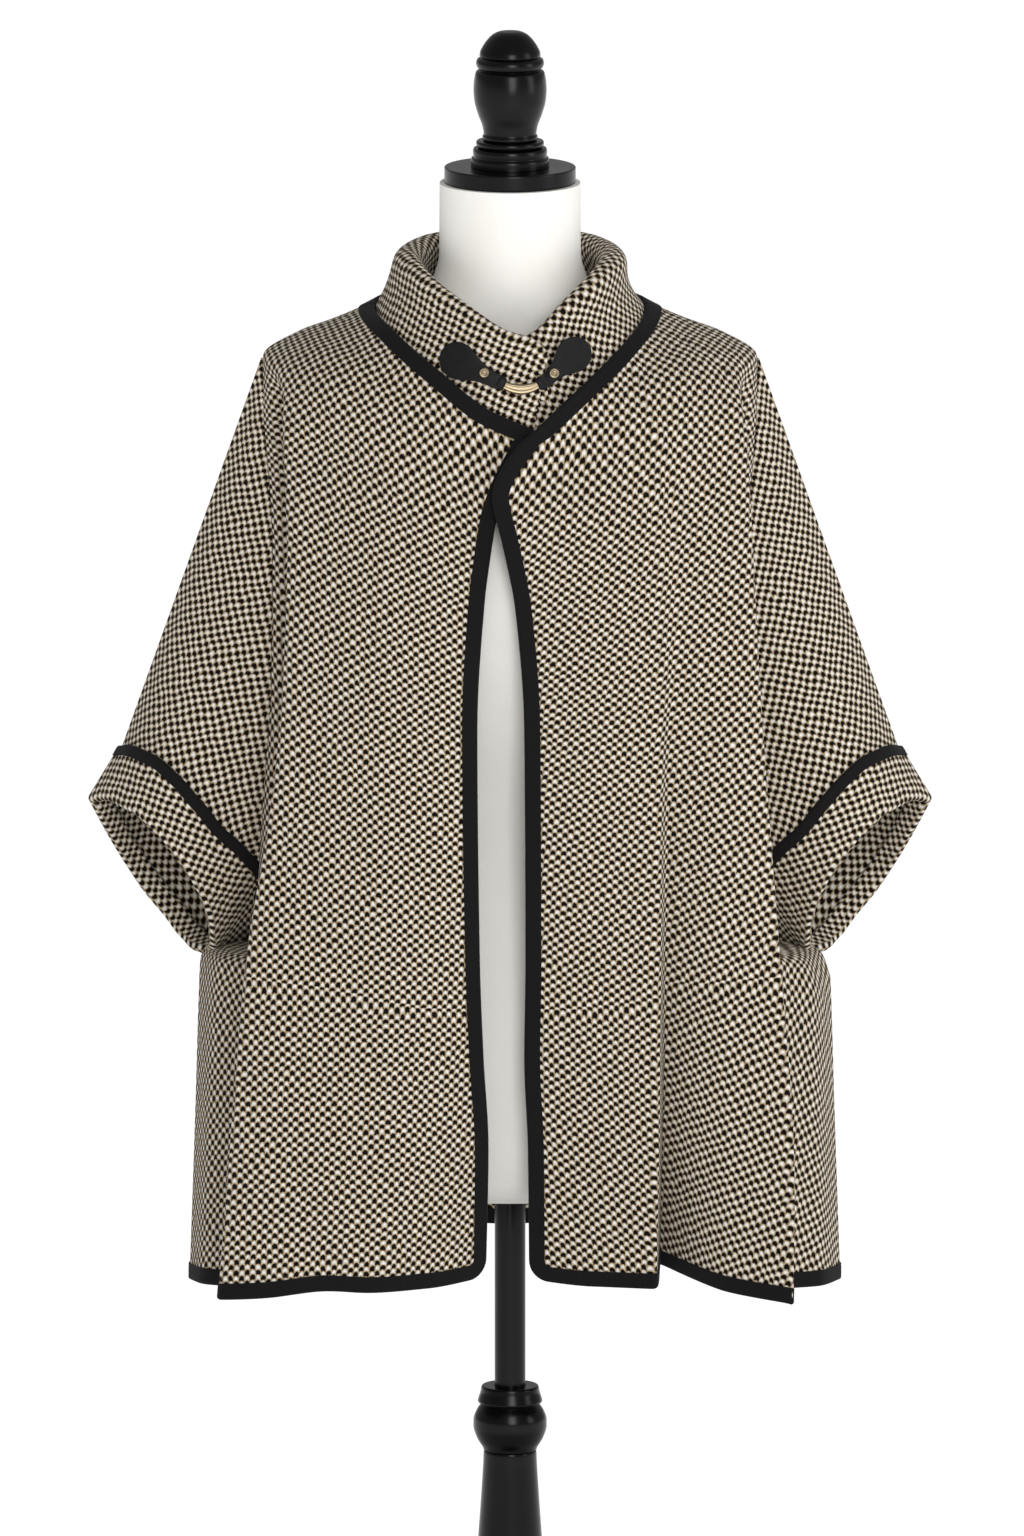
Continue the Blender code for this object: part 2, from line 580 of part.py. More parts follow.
def sleeve_grid(side, rows):
    """Rings from the armhole to the folded edge of the cuff, front first from the top."""
    rings = {}
    for face in ("front", "back"):
        arm, share = arm_line(side, face)
        rings[face] = (arm, cuff_line(CUFF_SEAM, side, face, share), cuff_line(CUFF_EDGE, side, face, share))
    lines = []
    for row in rows:
        ring = []
        for face, order in (("front", slice(None)), ("back", slice(-2, None, -1))):
            arm, seam, edge = rings[face]
            if row <= CUFF_SHARE:
                part = arm + (seam - arm) * (row / CUFF_SHARE)
            else:
                part = seam + (edge - seam) * ((row - CUFF_SHARE) / (1 - CUFF_SHARE))
            ring.append(part[order])
        ring = np.concatenate(ring)
        ring[-1] = ring[0]
        lines.append(ring)
    grid = np.array(lines)
    # The front and back of the armhole meet at the top and at the underarm.
    bottom = len(ARM_ROWS) - 1
    grid[:, 0, 1] = grid[:, -1, 1] = 0
    grid[:, bottom, 1] = 0
    return grid


def sleeve_piece(side):
    """A sleeve, the cuff turned back over its end and the tape on the cuff's upper edge."""
    points = sleeve_grid(side, SLEEVE_ROWS)
    start = SLEEVE_ROWS.index(CUFF_SHARE)
    tape_line(points, start, start + 1, start + 2)
    flip = side == "right"
    normals = cloth_piece("sleeve_" + side, points, ring=True, flip=flip)
    cuff = points[start:] + normals[start:] * (CLOTH + 2 * GAP)
    cuff_normals = cloth_piece("cuff_" + side, cuff, ring=True, flip=flip)
    tape("binding_cuff_" + side, strip_along(cuff, cuff_normals, 0, 1), ring=True, legs=1)


# ---- Collar --------------------------------------------------------------------------------
COLLAR_STEPS = 29
FOOT_STEPS = 3
ROLL_STEPS = 4
INSIDE_STEPS = 2


def neck_loop(front_right, front_left, back):
    """The neckline all round, from the throat over the right shoulder to the throat."""
    return np.concatenate([front_right[0], back[0, 1:-1], front_left[0, ::-1]])


def collar_grid(loop, shares):
    """Sections of the collar: up from its foot, over the roll and down inside."""
    length = np.concatenate([[0], np.cumsum(np.linalg.norm(np.diff(loop, axis=0), axis=1))])
    foot = smooth_through(length / length[-1], loop, shares)
    # Stand the foot inside the neckline, moved towards the axis of the neck.
    tuck = COLLAR_TUCK + INNER_END_TUCK * np.clip((shares - 0.84) / 0.12, 0, 1)
    foot[:, :2] *= (1 - tuck / np.linalg.norm(foot[:, :2], axis=1))[:, None]
    sunk = foot.copy()
    sunk[:, 2] -= FOOT_DROP * np.clip(1 - (foot[:, 0] / FOOT_DROP_ENDS)**2, 0.1, 1)
    table = by_share(COLLAR, shares) * MM
    crest = np.column_stack([table[:, 0], -table[:, 1], table[:, 2]])
    radius, drop = table[:, 3], table[:, 4]
    inward = crest.copy()
    inward[:, 2] = 0
    inward /= -np.linalg.norm(inward, axis=1)[:, None]
    up = np.array([0, 0, 1.0])
    lines = [sunk]
    shoulder = crest - inward * radius[:, None] - up * radius[:, None]
    for t in np.linspace(0, 1, FOOT_STEPS + 1):
        # The wall stands up from the foot and leans in towards the crest.
        lines.append(foot + (shoulder - foot) * t - inward * (4 * MM * math.sin(math.pi * t) * -0.4))
    for t in np.linspace(0, math.pi, ROLL_STEPS + 1)[1:]:
        lines.append(crest - inward * (radius * math.cos(t))[:, None]
                     + up * (radius * (math.sin(t) - 1))[:, None])
    inner = lines[-1]
    for t in np.linspace(0, 1, INSIDE_STEPS + 1)[1:]:
        lines.append(inner - up * (drop * t)[:, None] - inward * (6 * MM * t))
    return np.array(lines)


def collar_piece(loop):
    """The rolled collar; its outer end laps over its inner one at the throat."""
    shares = np.linspace(0, 1, COLLAR_STEPS + 1)
    points = collar_grid(loop, shares)
    cloth_piece("collar", points)
    return points


# ---- Closure on the collar -----------------------------------------------------------------
def collar_face(points):
    """A function that gives the outer face of the collar in front of an out and a height."""
    fine = np.array([smooth_through(range(points.shape[1]), line, np.linspace(0, points.shape[1] - 1, 400))
                     for line in points[:FOOT_STEPS + 2]])
    fine = np.stack([smooth_through(range(len(fine)), fine[:, i], np.linspace(0, len(fine) - 1, 60))
                     for i in range(fine.shape[1])])
    front = fine.reshape(-1, 3)
    front = front[front[:, 1] < -0.03]

    def forward(out, height):
        away = np.hypot(front[:, 0] - out, front[:, 2] - height)
        return front[away < away.min() + 4 * MM, 1].min()

    return forward


def world_shape(thing):
    """Points and ray tree of a finished piece."""
    bpy.context.view_layer.update()
    shape = thing.evaluated_get(bpy.context.evaluated_depsgraph_get())
    mesh = shape.to_mesh()
    points = [shape.matrix_world @ vert.co for vert in mesh.vertices]
    faces = [face.vertices[:] for face in mesh.polygons]
    tree = BVHTree.FromPolygons(points, faces)
    for edge in mesh.edges:
        start, end = (points[i] for i in edge.vertices)
        points += [start.lerp(end, share) for share in (0.25, 0.5, 0.75)]
    shape.to_mesh_clear()
    return points, tree


def seat(piece, onto):
    """Slide a piece back along Y until it stands just clear of the front of another."""
    away = 80 * MM
    piece.location.y -= away
    own, own_tree = world_shape(piece)
    other, other_tree = world_shape(onto)
    back, front = Vector((0, 1, 0)), Vector((0, -1, 0))
    hits = [other_tree.ray_cast(point, back) for point in own]
    hits += [own_tree.ray_cast(point, front) for point in other if point.y < -60 * MM]
    room = min(hit[3] for hit in hits if hit[3] is not None)
    piece.location.y += room - 2.2 * GAP


def tab_piece(name, forward):
    """A drop-shaped leather tab whose strap runs to the clasp."""
    (head, tip, half_head, half_strap) = TABS[name]
    head = np.array(head) * MM
    tip = np.array(tip) * MM
    axis = tip - head
    length = np.linalg.norm(axis)
    axis /= length
    beside = np.array([-axis[1], axis[0]])
    back = half_head * MM
    rows = []
    for t in np.linspace(0.04, 1, 11):
        along = -back + t * (length + back)
        if along < 0:
            half = half_head * MM * math.sqrt(1 - (along / back)**2)
        else:
            half = half_strap * MM + (half_head - half_strap) * MM * math.exp(-(along / (0.42 * length))**2)
        flat = [head + axis * along + beside * half * s for s in (-1, -0.5, 0, 0.5, 1)]
        rows.append([(out, forward(out, height), height) for out, height in flat])
    # The leather is stiff: it keeps one even slope both ways over the cloth below it.
    rows = np.array(rows)
    flat = np.column_stack([rows[..., 0].ravel(), rows[..., 2].ravel(), rows[..., 0].ravel()**2,
                            np.ones(rows[..., 0].size)])
    slope = np.linalg.lstsq(flat, rows[..., 1].ravel(), rcond=None)[0]
    rows[..., 1] = (flat @ slope).reshape(rows.shape[:2])
    mesh, _ = grid_mesh(name, rows)
    tab = wall(add_object(name, mesh, material(name, LEATHER, 0.5)), TAB_WALL)
    seat(tab, bpy.data.objects["collar"])
    return tab


def stud_piece(name, tab):
    """A domed brass stud riveted through the narrow part of its tab."""
    out, height = STUDS[name]
    bm = bmesh.new()
    bmesh.ops.create_uvsphere(bm, u_segments=16, v_segments=8, radius=4 * MM)
    for vert in bm.verts:
        vert.co.z = max(vert.co.z, 0) * 0.6
    bmesh.ops.remove_doubles(bm, verts=bm.verts, dist=1e-7)
    flat_faces = [f for f in bm.faces if all(v.co.z < 1e-7 for v in f.verts)]
    bmesh.ops.delete(bm, geom=flat_faces, context="FACES_ONLY")
    bmesh.ops.delete(bm, geom=[v for v in bm.verts if not v.link_faces], context="VERTS")
    bmesh.ops.holes_fill(bm, edges=bm.edges)
    bmesh.ops.recalc_face_normals(bm, faces=bm.faces)
    mesh = bpy.data.meshes.new(name)
    bm.to_mesh(mesh)
    bm.free()
    stud = add_object(name, mesh, material(name, BRASS, 0.3, 1.0))
    stud.rotation_euler = (math.pi / 2, 0, 0)
    stud.location = (out * MM, -120 * MM, height * MM)
    seat(stud, tab)


def clasp_piece(forward):
    """The curved brass bar between the two straps."""
    curve = bpy.data.curves.new("clasp", "CURVE")
    curve.dimensions = "3D"
    curve.bevel_depth = 1.6 * MM
    curve.bevel_resolution = 2
    curve.use_fill_caps = True
    spline = curve.splines.new("POLY")
    (x0, z0), (x1, z1), (x2, z2) = CLASP
    steps = 12
    spline.points.add(steps)
    for i, point in enumerate(spline.points):
        t = i / steps
        out = (x0 + (x2 - x0) * t) * MM
        height = (z0 - 4 * (z0 - z1) * t * (1 - t)) * MM
        point.co = (out, forward(out, height), height, 1)
    holder = bpy.data.objects.new("clasp_curve", curve)
    PONCHO.objects.link(holder)
    bpy.context.view_layer.update()
    mesh = bpy.data.meshes.new_from_object(holder.evaluated_get(bpy.context.evaluated_depsgraph_get()))
    bpy.data.objects.remove(holder, do_unlink=True)
    bm = bmesh.new()
    bm.from_mesh(mesh)
    bmesh.ops.remove_doubles(bm, verts=bm.verts, dist=1e-6)
    bmesh.ops.recalc_face_normals(bm, faces=bm.faces)
    bm.to_mesh(mesh)
    bm.free()
    mesh.materials.clear()
    clasp = add_object("clasp", mesh, material("clasp", BRASS, 0.3, 1.0))
    seat(clasp, bpy.data.objects["collar"])


# ---- Dress form and stand ------------------------------------------------------------------
def torso_section(height):
    """Half width, front depth and back depth of the torso at a height in millimetres."""
    rows = np.asarray(TORSO, float)
    return smooth_through(rows[:, 0], rows[:, 1:], height)[0]


def torso_piece():
    """The padded torso: a loft of ovals, closed by small flat ends."""
    heights = []
    rows = np.asarray(TORSO, float)[:, 0]
    for low, high in zip(rows[:-1], rows[1:]):
        heights += list(np.linspace(low, high, 2 if high - low > 75 else 1, endpoint=False))
    heights.append(rows[-1])
    angles = np.linspace(0, 2 * math.pi, TORSO_STEPS + 1)
    power = 2 / TORSO_SQUARE
    lines = []
    for height in heights:
        half, front, back = torso_section(height)
        blend = np.clip((height - 1470) / 30, 0, 1)
        bend = power + (1 - power) * blend
        c, s = np.cos(angles), np.sin(angles)
        x = half * np.sign(c) * np.abs(c)**bend
        depth = np.where(s > 0, back, front)
        y = depth * np.sign(s) * np.abs(s)**bend
        lines.append(np.column_stack([x, y, np.full_like(x, height)]) * MM)
    points = np.array(lines)
    points[:, -1] = points[:, 0]
    mesh, _ = grid_mesh("form_torso", points, ring=True)
    bm = bmesh.new()
    bm.from_mesh(mesh)
    bmesh.ops.holes_fill(bm, edges=bm.edges)
    bmesh.ops.recalc_face_normals(bm, faces=bm.faces)
    bm.to_mesh(mesh)
    bm.free()
    add_object("form_torso", mesh, material("form_torso", JERSEY, 0.85))


def turned(name, profile, surface):
    """A turned piece: its profile, run down its outer side, spun by a Screw modifier."""
    mesh = bpy.data.meshes.new(name)
    points = [(radius * MM, 0, height * MM) for radius, height in profile]
    closed = profile[0][0] > 0
    edges = [(i, i + 1) for i in range(len(points) - 1)]
    if closed:
        edges.append((len(points) - 1, 0))
    mesh.from_pydata(points, edges, [])
    piece = add_object(name, mesh, surface)
    spin = piece.modifiers.new("turned", "SCREW")
    spin.steps = spin.render_steps = ROUND_STEPS
    spin.use_merge_vertices = True
    spin.merge_threshold = 0.00001
    spin.use_smooth_shade = True
    return piece


def stand_pieces():
    """Finial and cap above the neck; pole, knob, column and base below the torso."""
    turned("finial", FINIAL, material("finial", BLACK_WOOD, 0.3))
    turned("neck_cap", CAP, material("neck_cap", BLACK_WOOD, 0.3))
    top = TORSO[0][0] * MM - GAP
    bm = bmesh.new()
    bmesh.ops.create_cone(bm, cap_ends=True, segments=ROUND_STEPS, radius1=POLE_RADIUS,
                          radius2=POLE_RADIUS, depth=top - POLE_FOOT)
    mesh = bpy.data.meshes.new("pole")
    bm.to_mesh(mesh)
    bm.free()
    pole = add_object("pole", mesh, material("pole", BLACK_WOOD, 0.35))
    pole.location = (0, 0, (top + POLE_FOOT) / 2)
    turned("knob", KNOB, material("knob", BLACK_WOOD, 0.3))
    turned("column", COLUMN, material("column", BLACK_WOOD, 0.3))
    turned("base", BASE, material("base", BLACK_WOOD, 0.35))


# ---- Put together --------------------------------------------------------------------------
RIGHT_FRONT = front_piece("right")
LEFT_FRONT = front_piece("left")
WHOLE_BACK = back_piece()
for arm_side in ("right", "left"):
    sleeve_piece(arm_side)
COLLAR_POINTS = collar_piece(neck_loop(RIGHT_FRONT, LEFT_FRONT, WHOLE_BACK))
COLLAR_FRONT = collar_face(COLLAR_POINTS)
for tab_side in ("right", "left"):
    stud_piece("stud_" + tab_side, tab_piece("tab_" + tab_side, COLLAR_FRONT))
clasp_piece(COLLAR_FRONT)
torso_piece()
stand_pieces()
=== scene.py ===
"""Visual model of a women's knit poncho with a toggle collar, on a dress form with a stand.

Metres, +Z up. The front faces -Y and the wearer's left is +X. The tables are in millimetres.
"""
import math

import bmesh
import bpy
import numpy as np
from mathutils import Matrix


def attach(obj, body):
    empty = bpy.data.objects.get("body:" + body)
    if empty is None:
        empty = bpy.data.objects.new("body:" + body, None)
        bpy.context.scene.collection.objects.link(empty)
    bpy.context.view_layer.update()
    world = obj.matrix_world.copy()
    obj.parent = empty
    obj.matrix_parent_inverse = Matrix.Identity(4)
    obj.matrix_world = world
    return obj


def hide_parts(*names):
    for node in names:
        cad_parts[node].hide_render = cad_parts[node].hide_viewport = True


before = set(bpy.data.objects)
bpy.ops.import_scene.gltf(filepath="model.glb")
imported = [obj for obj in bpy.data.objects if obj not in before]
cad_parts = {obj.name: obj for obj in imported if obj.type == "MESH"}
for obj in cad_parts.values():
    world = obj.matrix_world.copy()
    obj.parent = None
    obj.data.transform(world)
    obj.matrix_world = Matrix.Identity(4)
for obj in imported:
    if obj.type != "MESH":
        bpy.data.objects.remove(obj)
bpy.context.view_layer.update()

# ---- Camera --------------------------------------------------------------------------------
# The photograph looks down by 10.5 degrees through a long lens from far away. Its frame is
# 1.26 m high in the plane of the stand, from above the finial to a third down the column.
VIEW_DOWN = math.radians(10.5)
VIEW_FROM = 20.0
FRAME_HEIGHT = 1.2595
MIDDLE_OUT, MIDDLE_UP = 0.0016, 1.0871      # the middle of the frame, in the stand's plane
SENSOR = 36.0


def in_scene(name, data):
    """A new object of a mesh, camera or light, in the scene."""
    made = bpy.data.objects.new(name, data)
    bpy.context.scene.collection.objects.link(made)
    return made


long_lens = bpy.data.cameras.new("long_lens")
long_lens.sensor_fit = "VERTICAL"
long_lens.sensor_height = SENSOR
long_lens.lens = SENSOR * VIEW_FROM / FRAME_HEIGHT
long_lens.clip_end = 200
camera = in_scene("camera", long_lens)
camera.location = (MIDDLE_OUT, -VIEW_FROM * math.cos(VIEW_DOWN),
                   MIDDLE_UP + VIEW_FROM * math.sin(VIEW_DOWN))
camera.rotation_euler = (math.pi / 2 - VIEW_DOWN, 0, 0)
bpy.context.scene.camera = camera

# ---- Dress form ----------------------------------------------------------------------------
# A limbless padded torso with a long neck, covered in ivory jersey that is stretched smooth.
# The cover is one tight tube of fine knit, gathered under the neck cap and under the hips.
MM = 0.001
# Height, half width, depth to the front, depth to the back.
TORSO = (
    (732, 34, 22, 24), (734, 84, 54, 58), (741, 124, 82, 86), (757, 147, 98, 101),
    (795, 160, 107, 111), (880, 163, 109, 113), (960, 148, 104, 99), (1060, 124, 94, 80),
    (1150, 139, 108, 86), (1240, 157, 121, 95), (1300, 171, 113, 97), (1360, 182, 97, 95),
    (1405, 186, 82, 88), (1422, 183, 74, 84), (1436, 173, 68, 79), (1447, 154, 63, 73),
    (1457, 126, 59, 68), (1465, 101, 57.5, 64), (1475, 82, 57.5, 61), (1491, 65, 57.5, 58.5),
    (1515, 58, 57.5, 57.5), (1573.3, 57.5, 57.5, 57.5),
)
TORSO_SQUARE = 2.35             # exponent of its oval sections; 2 is an ellipse
NECK_FROM, NECK_OVER = 1470, 30     # where they turn to ellipses, and over what height
MERGED = 2e-6                   # points of a mesh nearer than this are one


def smooth_through(knots, values, where):
    """Cubic through values at rising knots that never overshoots them, read at where.

    The slope at a knot is the harmonic mean of the slopes beside it, or level at a turn.
    """
    knots = np.asarray(knots, float)
    shape = np.shape(values)[1:]
    values = np.asarray(values, float).reshape(len(knots), -1)
    where = np.atleast_1d(np.asarray(where, float))
    step = np.diff(knots)[:, None]
    rise = np.diff(values, axis=0) / step
    slope = np.concatenate([rise[:1], rise[1:], rise[-1:]])
    before, after = rise[:-1], rise[1:]
    same_way = before * after > 0
    weight_a, weight_b = 2 * step[1:] + step[:-1], step[1:] + 2 * step[:-1]
    mean = (weight_a + weight_b) / (weight_a / np.where(same_way, before, 1)
                                    + weight_b / np.where(same_way, after, 1))
    slope[1:-1] = np.where(same_way, mean, 0)
    i = np.clip(np.searchsorted(knots, where, side="right") - 1, 0, len(step) - 1)
    t = ((where - knots[i]) / step[i, 0])[:, None]
    read = (values[i] * (2 * t**3 - 3 * t**2 + 1) + slope[i] * step[i] * (t**3 - 2 * t**2 + t)
            + values[i + 1] * (3 * t**2 - 2 * t**3) + slope[i + 1] * step[i] * (t**3 - t**2))
    return read.reshape(len(where), *shape)


def read(table, where):
    """A table read at where; its first column rises."""
    rows = np.asarray(table, float)
    return smooth_through(rows[:, 0], rows[:, 1:], where)


def surface(name, points, uv, ring=False, loop=False, ends=False, sharp=None):
    """An object with one face for each cell of a grid of points.

    ring: the last column repeats the first. loop: the last row joins the first. ends: the
    first and last rows of a ring are each closed by one face. uv is in metres, and sharp is
    the angle past which an edge stays crisp.
    """
    rows, columns = points.shape[:2]
    number = np.arange(rows * columns).reshape(rows, columns)
    if ring:
        number[:, -1] = number[:, 0]
    if loop:
        number = np.concatenate([number, number[:1]])
        uv = np.concatenate([uv, 2 * uv[-1:] - uv[-2:-1]])
    around = ((slice(None, -1), slice(None, -1)), (slice(None, -1), slice(1, None)),
              (slice(1, None), slice(1, None)), (slice(1, None), slice(None, -1)))
    faces = np.stack([number[cell] for cell in around], axis=-1).reshape(-1, 4).tolist()
    places = np.stack([uv[cell] for cell in around], axis=-2).reshape(-1, 2)
    if ends:
        faces += [number[0, :-1][::-1].tolist(), number[-1, :-1].tolist()]
        places = np.concatenate([places, uv[0, :-1][::-1], uv[-1, :-1]])
    mesh = bpy.data.meshes.new(name)
    mesh.from_pydata(points.reshape(-1, 3).tolist(), [], faces)
    mesh.uv_layers.new(name="flat").data.foreach_set("uv", places.ravel())
    bm = bmesh.new()
    bm.from_mesh(mesh)
    bmesh.ops.delete(bm, geom=[vert for vert in bm.verts if not vert.link_faces], context="VERTS")
    bmesh.ops.remove_doubles(bm, verts=bm.verts, dist=MERGED)
    bmesh.ops.recalc_face_normals(bm, faces=bm.faces)
    bm.to_mesh(mesh)
    bm.free()
    mesh.polygons.foreach_set("use_smooth", np.ones(len(mesh.polygons), bool))
    if sharp is not None:
        mesh.set_sharp_from_angle(angle=math.radians(sharp))
    return in_scene(name, mesh)


def lengths(points, axis):
    """Distance along each line of a grid from its first point."""
    step = np.linalg.norm(np.diff(points, axis=axis), axis=-1)
    start = np.zeros_like(np.take(step, [0], axis=axis))
    return np.concatenate([start, np.cumsum(step, axis=axis)], axis=axis)


def unit(vectors):
    """Vectors divided by their own lengths."""
    return vectors / np.linalg.norm(vectors, axis=-1, keepdims=True)


def arc_uv(grid):
    """A grid's UV in metres: the distance along each line across, and along each line down."""
    return np.stack([lengths(grid, 1), lengths(grid, 0)], -1)


def stand_for(piece, material, node=None):
    """Give a piece its material, the body that it rides on and the node it replaces."""
    piece.data.materials.append(material)
    if node:
        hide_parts(node)
    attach(piece, "root")


def closed_piece(name, points, material, slot, node=None, **how):
    """A closed piece from rings of points, with UV by distance along its lines."""
    stand_for(surface(name, points, arc_uv(points), ring=True, **how), material, node)


def linear(hex_colour):
    """RGBA in linear light of an sRGB hex colour."""
    part = np.array([int(hex_colour[i:i + 2], 16) for i in (0, 2, 4)]) / 255
    return (*np.where(part <= 0.04045, part / 12.92, ((part + 0.055) / 1.055)**2.4).tolist(), 1.0)


def shader_socket(material, key):
    """An input of a material's Principled shader; spaces in its name are written as _."""
    return material.node_tree.nodes["Principled BSDF"].inputs[key.replace("_", " ")]


def new_material(name, **sockets):
    """A material whose Principled shader has these sockets set."""
    made = bpy.data.materials.new(name)
    made.use_nodes = True
    for key, value in sockets.items():
        shader_socket(made, key).default_value = value
    return made


def add_node(material, kind, inputs, **settings):
    """Add one node to a material. An input is a value, or the output that it is linked to."""
    node = material.node_tree.nodes.new("ShaderNode" + kind)
    for key, value in settings.items():
        setattr(node, key, value)
    for key, value in inputs.items():
        if isinstance(value, bpy.types.NodeSocket):
            material.node_tree.links.new(value, node.inputs[key])
        else:
            node.inputs[key].default_value = value
    return node.outputs[0]


def link_into(material, **outputs):
    """Link outputs of nodes into the sockets of a material's Principled shader."""
    for key, value in outputs.items():
        material.node_tree.links.new(value, shader_socket(material, key))


def finish(material, share, colours, height, strength, depth, mixing="MIX", **outputs):
    """Colour a material from one colour to another by share, and bump it along height.

    A colour is a hex value or an output. depth is the bump's in metres, and outputs are
    linked into the shader too.
    """
    first, second = (linear(each) if isinstance(each, str) else each for each in colours)
    mix = add_node(material, "Mix", {0: share, 6: first, 7: second}, data_type="RGBA",
                   blend_type=mixing).node.outputs[2]
    bump = add_node(material, "Bump", {"Strength": strength, "Distance": depth, "Height": height})
    link_into(material, Base_Color=mix, Normal=bump, **outputs)


def squared(wave, power):
    """A sine or cosine bent towards a square wave: sign(wave) * |wave|^power."""
    return np.sign(wave) * np.abs(wave)**power


def torso_points(steps_between, steps_around):
    """Loft of ovals: |x/half|^n + |y/depth|^n = 1, with n falling to 2 at the round neck."""
    table = np.asarray(TORSO, float)
    height = np.interp(np.linspace(0, len(table) - 1, steps_between * (len(table) - 1) + 1),
                       range(len(table)), table[:, 0])
    half, front, back = (column[:, None] for column in read(table, height).T)
    angle = np.linspace(0, 2 * math.pi, steps_around + 1)[None]
    square = 2 / TORSO_SQUARE
    bend = square + (1 - square) * np.clip((height[:, None] - NECK_FROM) / NECK_OVER, 0, 1)
    x = half * squared(np.cos(angle), bend)
    y = np.where(np.sin(angle) > 0, back, front) * squared(np.sin(angle), bend)
    points = np.stack([x, y, np.broadcast_to(height[:, None], x.shape)], axis=-1) * MM
    points[:, -1] = points[:, 0]
    return points


# Cotton jersey, knitted fine and stretched: matte and soft, with faint upright ribs. Its lint
# is about 1 mm long and its clouds 70 mm wide.
RIB = 1.8 * MM                  # drawn about twice as coarse as real, so that it shows
jersey = new_material("stretched_cotton_jersey", Roughness=0.9, Sheen_Weight=0.25,
                      Sheen_Roughness=0.6, Specular_IOR_Level=0.2)
jersey_place = add_node(jersey, "UVMap", {}, uv_map="flat")
jersey_across = add_node(jersey, "SeparateXYZ", {0: jersey_place})
rib_turn = add_node(jersey, "Math", {0: jersey_across, 1: 2 * math.pi / RIB}, operation="MULTIPLY")
rib_wave = add_node(jersey, "Math", {0: rib_turn}, operation="COSINE")
jersey_cloud = add_node(jersey, "TexNoise", {"Vector": jersey_place, "Scale": 14.0, "Detail": 3.0})
jersey_lint = add_node(jersey, "TexNoise", {"Vector": jersey_place, "Scale": 900.0, "Detail": 2.0})
jersey_height = add_node(jersey, "Math", {0: rib_wave, 1: 0.25, 2: jersey_lint},
                         operation="MULTIPLY_ADD")
finish(jersey, jersey_cloud, ("FAF8F3", "F3F0E9"), jersey_height, 0.35, 0.3 * MM)

closed_piece("jersey_torso", torso_points(7, 144), jersey, "jersey", "form_torso",
             ends=True, sharp=60)

# ---- Stand and finial ----------------------------------------------------------------------
# Beech turned on a lathe and sprayed satin black: a finial and a cap above the neck, and a
# ringed knob, a tapering column and a round base below, on a straight pole.
# Profiles are radius and height from top to bottom; one that starts off the axis is a tube.
PROFILES = {
    "finial": (
        (0, 1698.5), (8, 1698), (13.6, 1695.8), (18, 1691.8), (22.2, 1686), (24.6, 1681),
        (25, 1678.4), (24, 1677.3), (27, 1675), (27.8, 1672), (27, 1669), (25.4, 1666.9),
        (27.8, 1665), (29.4, 1658), (29.9, 1650), (29.2, 1641), (26.6, 1631), (22.6, 1620),
        (21.6, 1614), (22.6, 1611.5), (22.4, 1609.5), (21.4, 1608.6), (27, 1608), (27.8, 1606),
        (27, 1603.4), (25.6, 1602.6), (29.6, 1602), (30.4, 1599), (30, 1595), (31.5, 1594),
        (32, 1592), (32, 1586.9), (0, 1586.9)),
    "neck_cap": (
        (0, 1586.6), (52.5, 1586.6), (53.7, 1585.6), (53.7, 1574.8), (52.7, 1573.6), (0, 1573.6)),
    "pole": ((0, 740.7), (12.7, 740.7), (12.7, 386), (12.7, 32.6), (0, 32.6)),
    "knob": (
        (13.1, 570.2), (22.4, 570.2), (23.6, 569.2), (24.4, 565), (25.9, 560.5), (26.7, 557.4),
        (25.6, 556), (23.8, 555.2), (27.6, 549.5), (30.2, 542), (30.3, 536), (27.4, 526.5),
        (22.6, 518.6), (21.6, 516.4), (13.1, 516.4)),
    "column": (
        (13.1, 516.1), (20.6, 516.1), (21.8, 514.6), (22.2, 505), (24.4, 470), (26.1, 446),
        (30.2, 380), (34.6, 270), (38.6, 150), (43, 80), (50, 52), (52, 44), (52, 32.3),
        (13.1, 32.3)),
    "base": (
        (0, 32), (140, 32), (160, 31), (172, 27), (178, 20), (179.6, 12), (179, 3), (176, 0),
        (0, 0)),
}
TURNED_STEPS = 5                # between two points of a profile


def turned_points(profile, steps_around):
    """A profile spun about the upright axis: radius*cos, radius*sin, height."""
    profile = np.asarray(profile, float)
    steps = TURNED_STEPS * (len(profile) - 1)
    fine = smooth_through(range(len(profile)), profile, np.linspace(0, len(profile) - 1, steps + 1))
    angle = np.linspace(0, 2 * math.pi, steps_around + 1)
    radius, height = fine[:, :1], np.broadcast_to(fine[:, 1:], (len(fine), len(angle)))
    return np.stack([radius * np.cos(angle), radius * np.sin(angle), height], axis=-1) * MM


# Satin black lacquer over beech: dark and even, softly glossy, with the grain just showing
# through, 2.4 mm wide and 40 mm long.
lacquer = new_material("satin_black_lacquer_on_beech", IOR=1.5, Specular_IOR_Level=0.2)
lacquer_place = add_node(lacquer, "TexCoord", {}).node.outputs["Object"]
grain_place = add_node(lacquer, "VectorMath", {0: lacquer_place, 1: (420.0, 420.0, 26.0)},
                       operation="MULTIPLY")
grain = add_node(lacquer, "TexNoise", {"Vector": grain_place, "Scale": 1.0, "Detail": 4.0})
haze = add_node(lacquer, "TexNoise", {"Vector": lacquer_place, "Scale": 35.0, "Detail": 3.0})
lacquer_rough = add_node(lacquer, "MapRange", {0: haze, 3: 0.2, 4: 0.3})
finish(lacquer, grain, ("020203", "070606"), grain, 0.15, 0.2 * MM, Roughness=lacquer_rough)

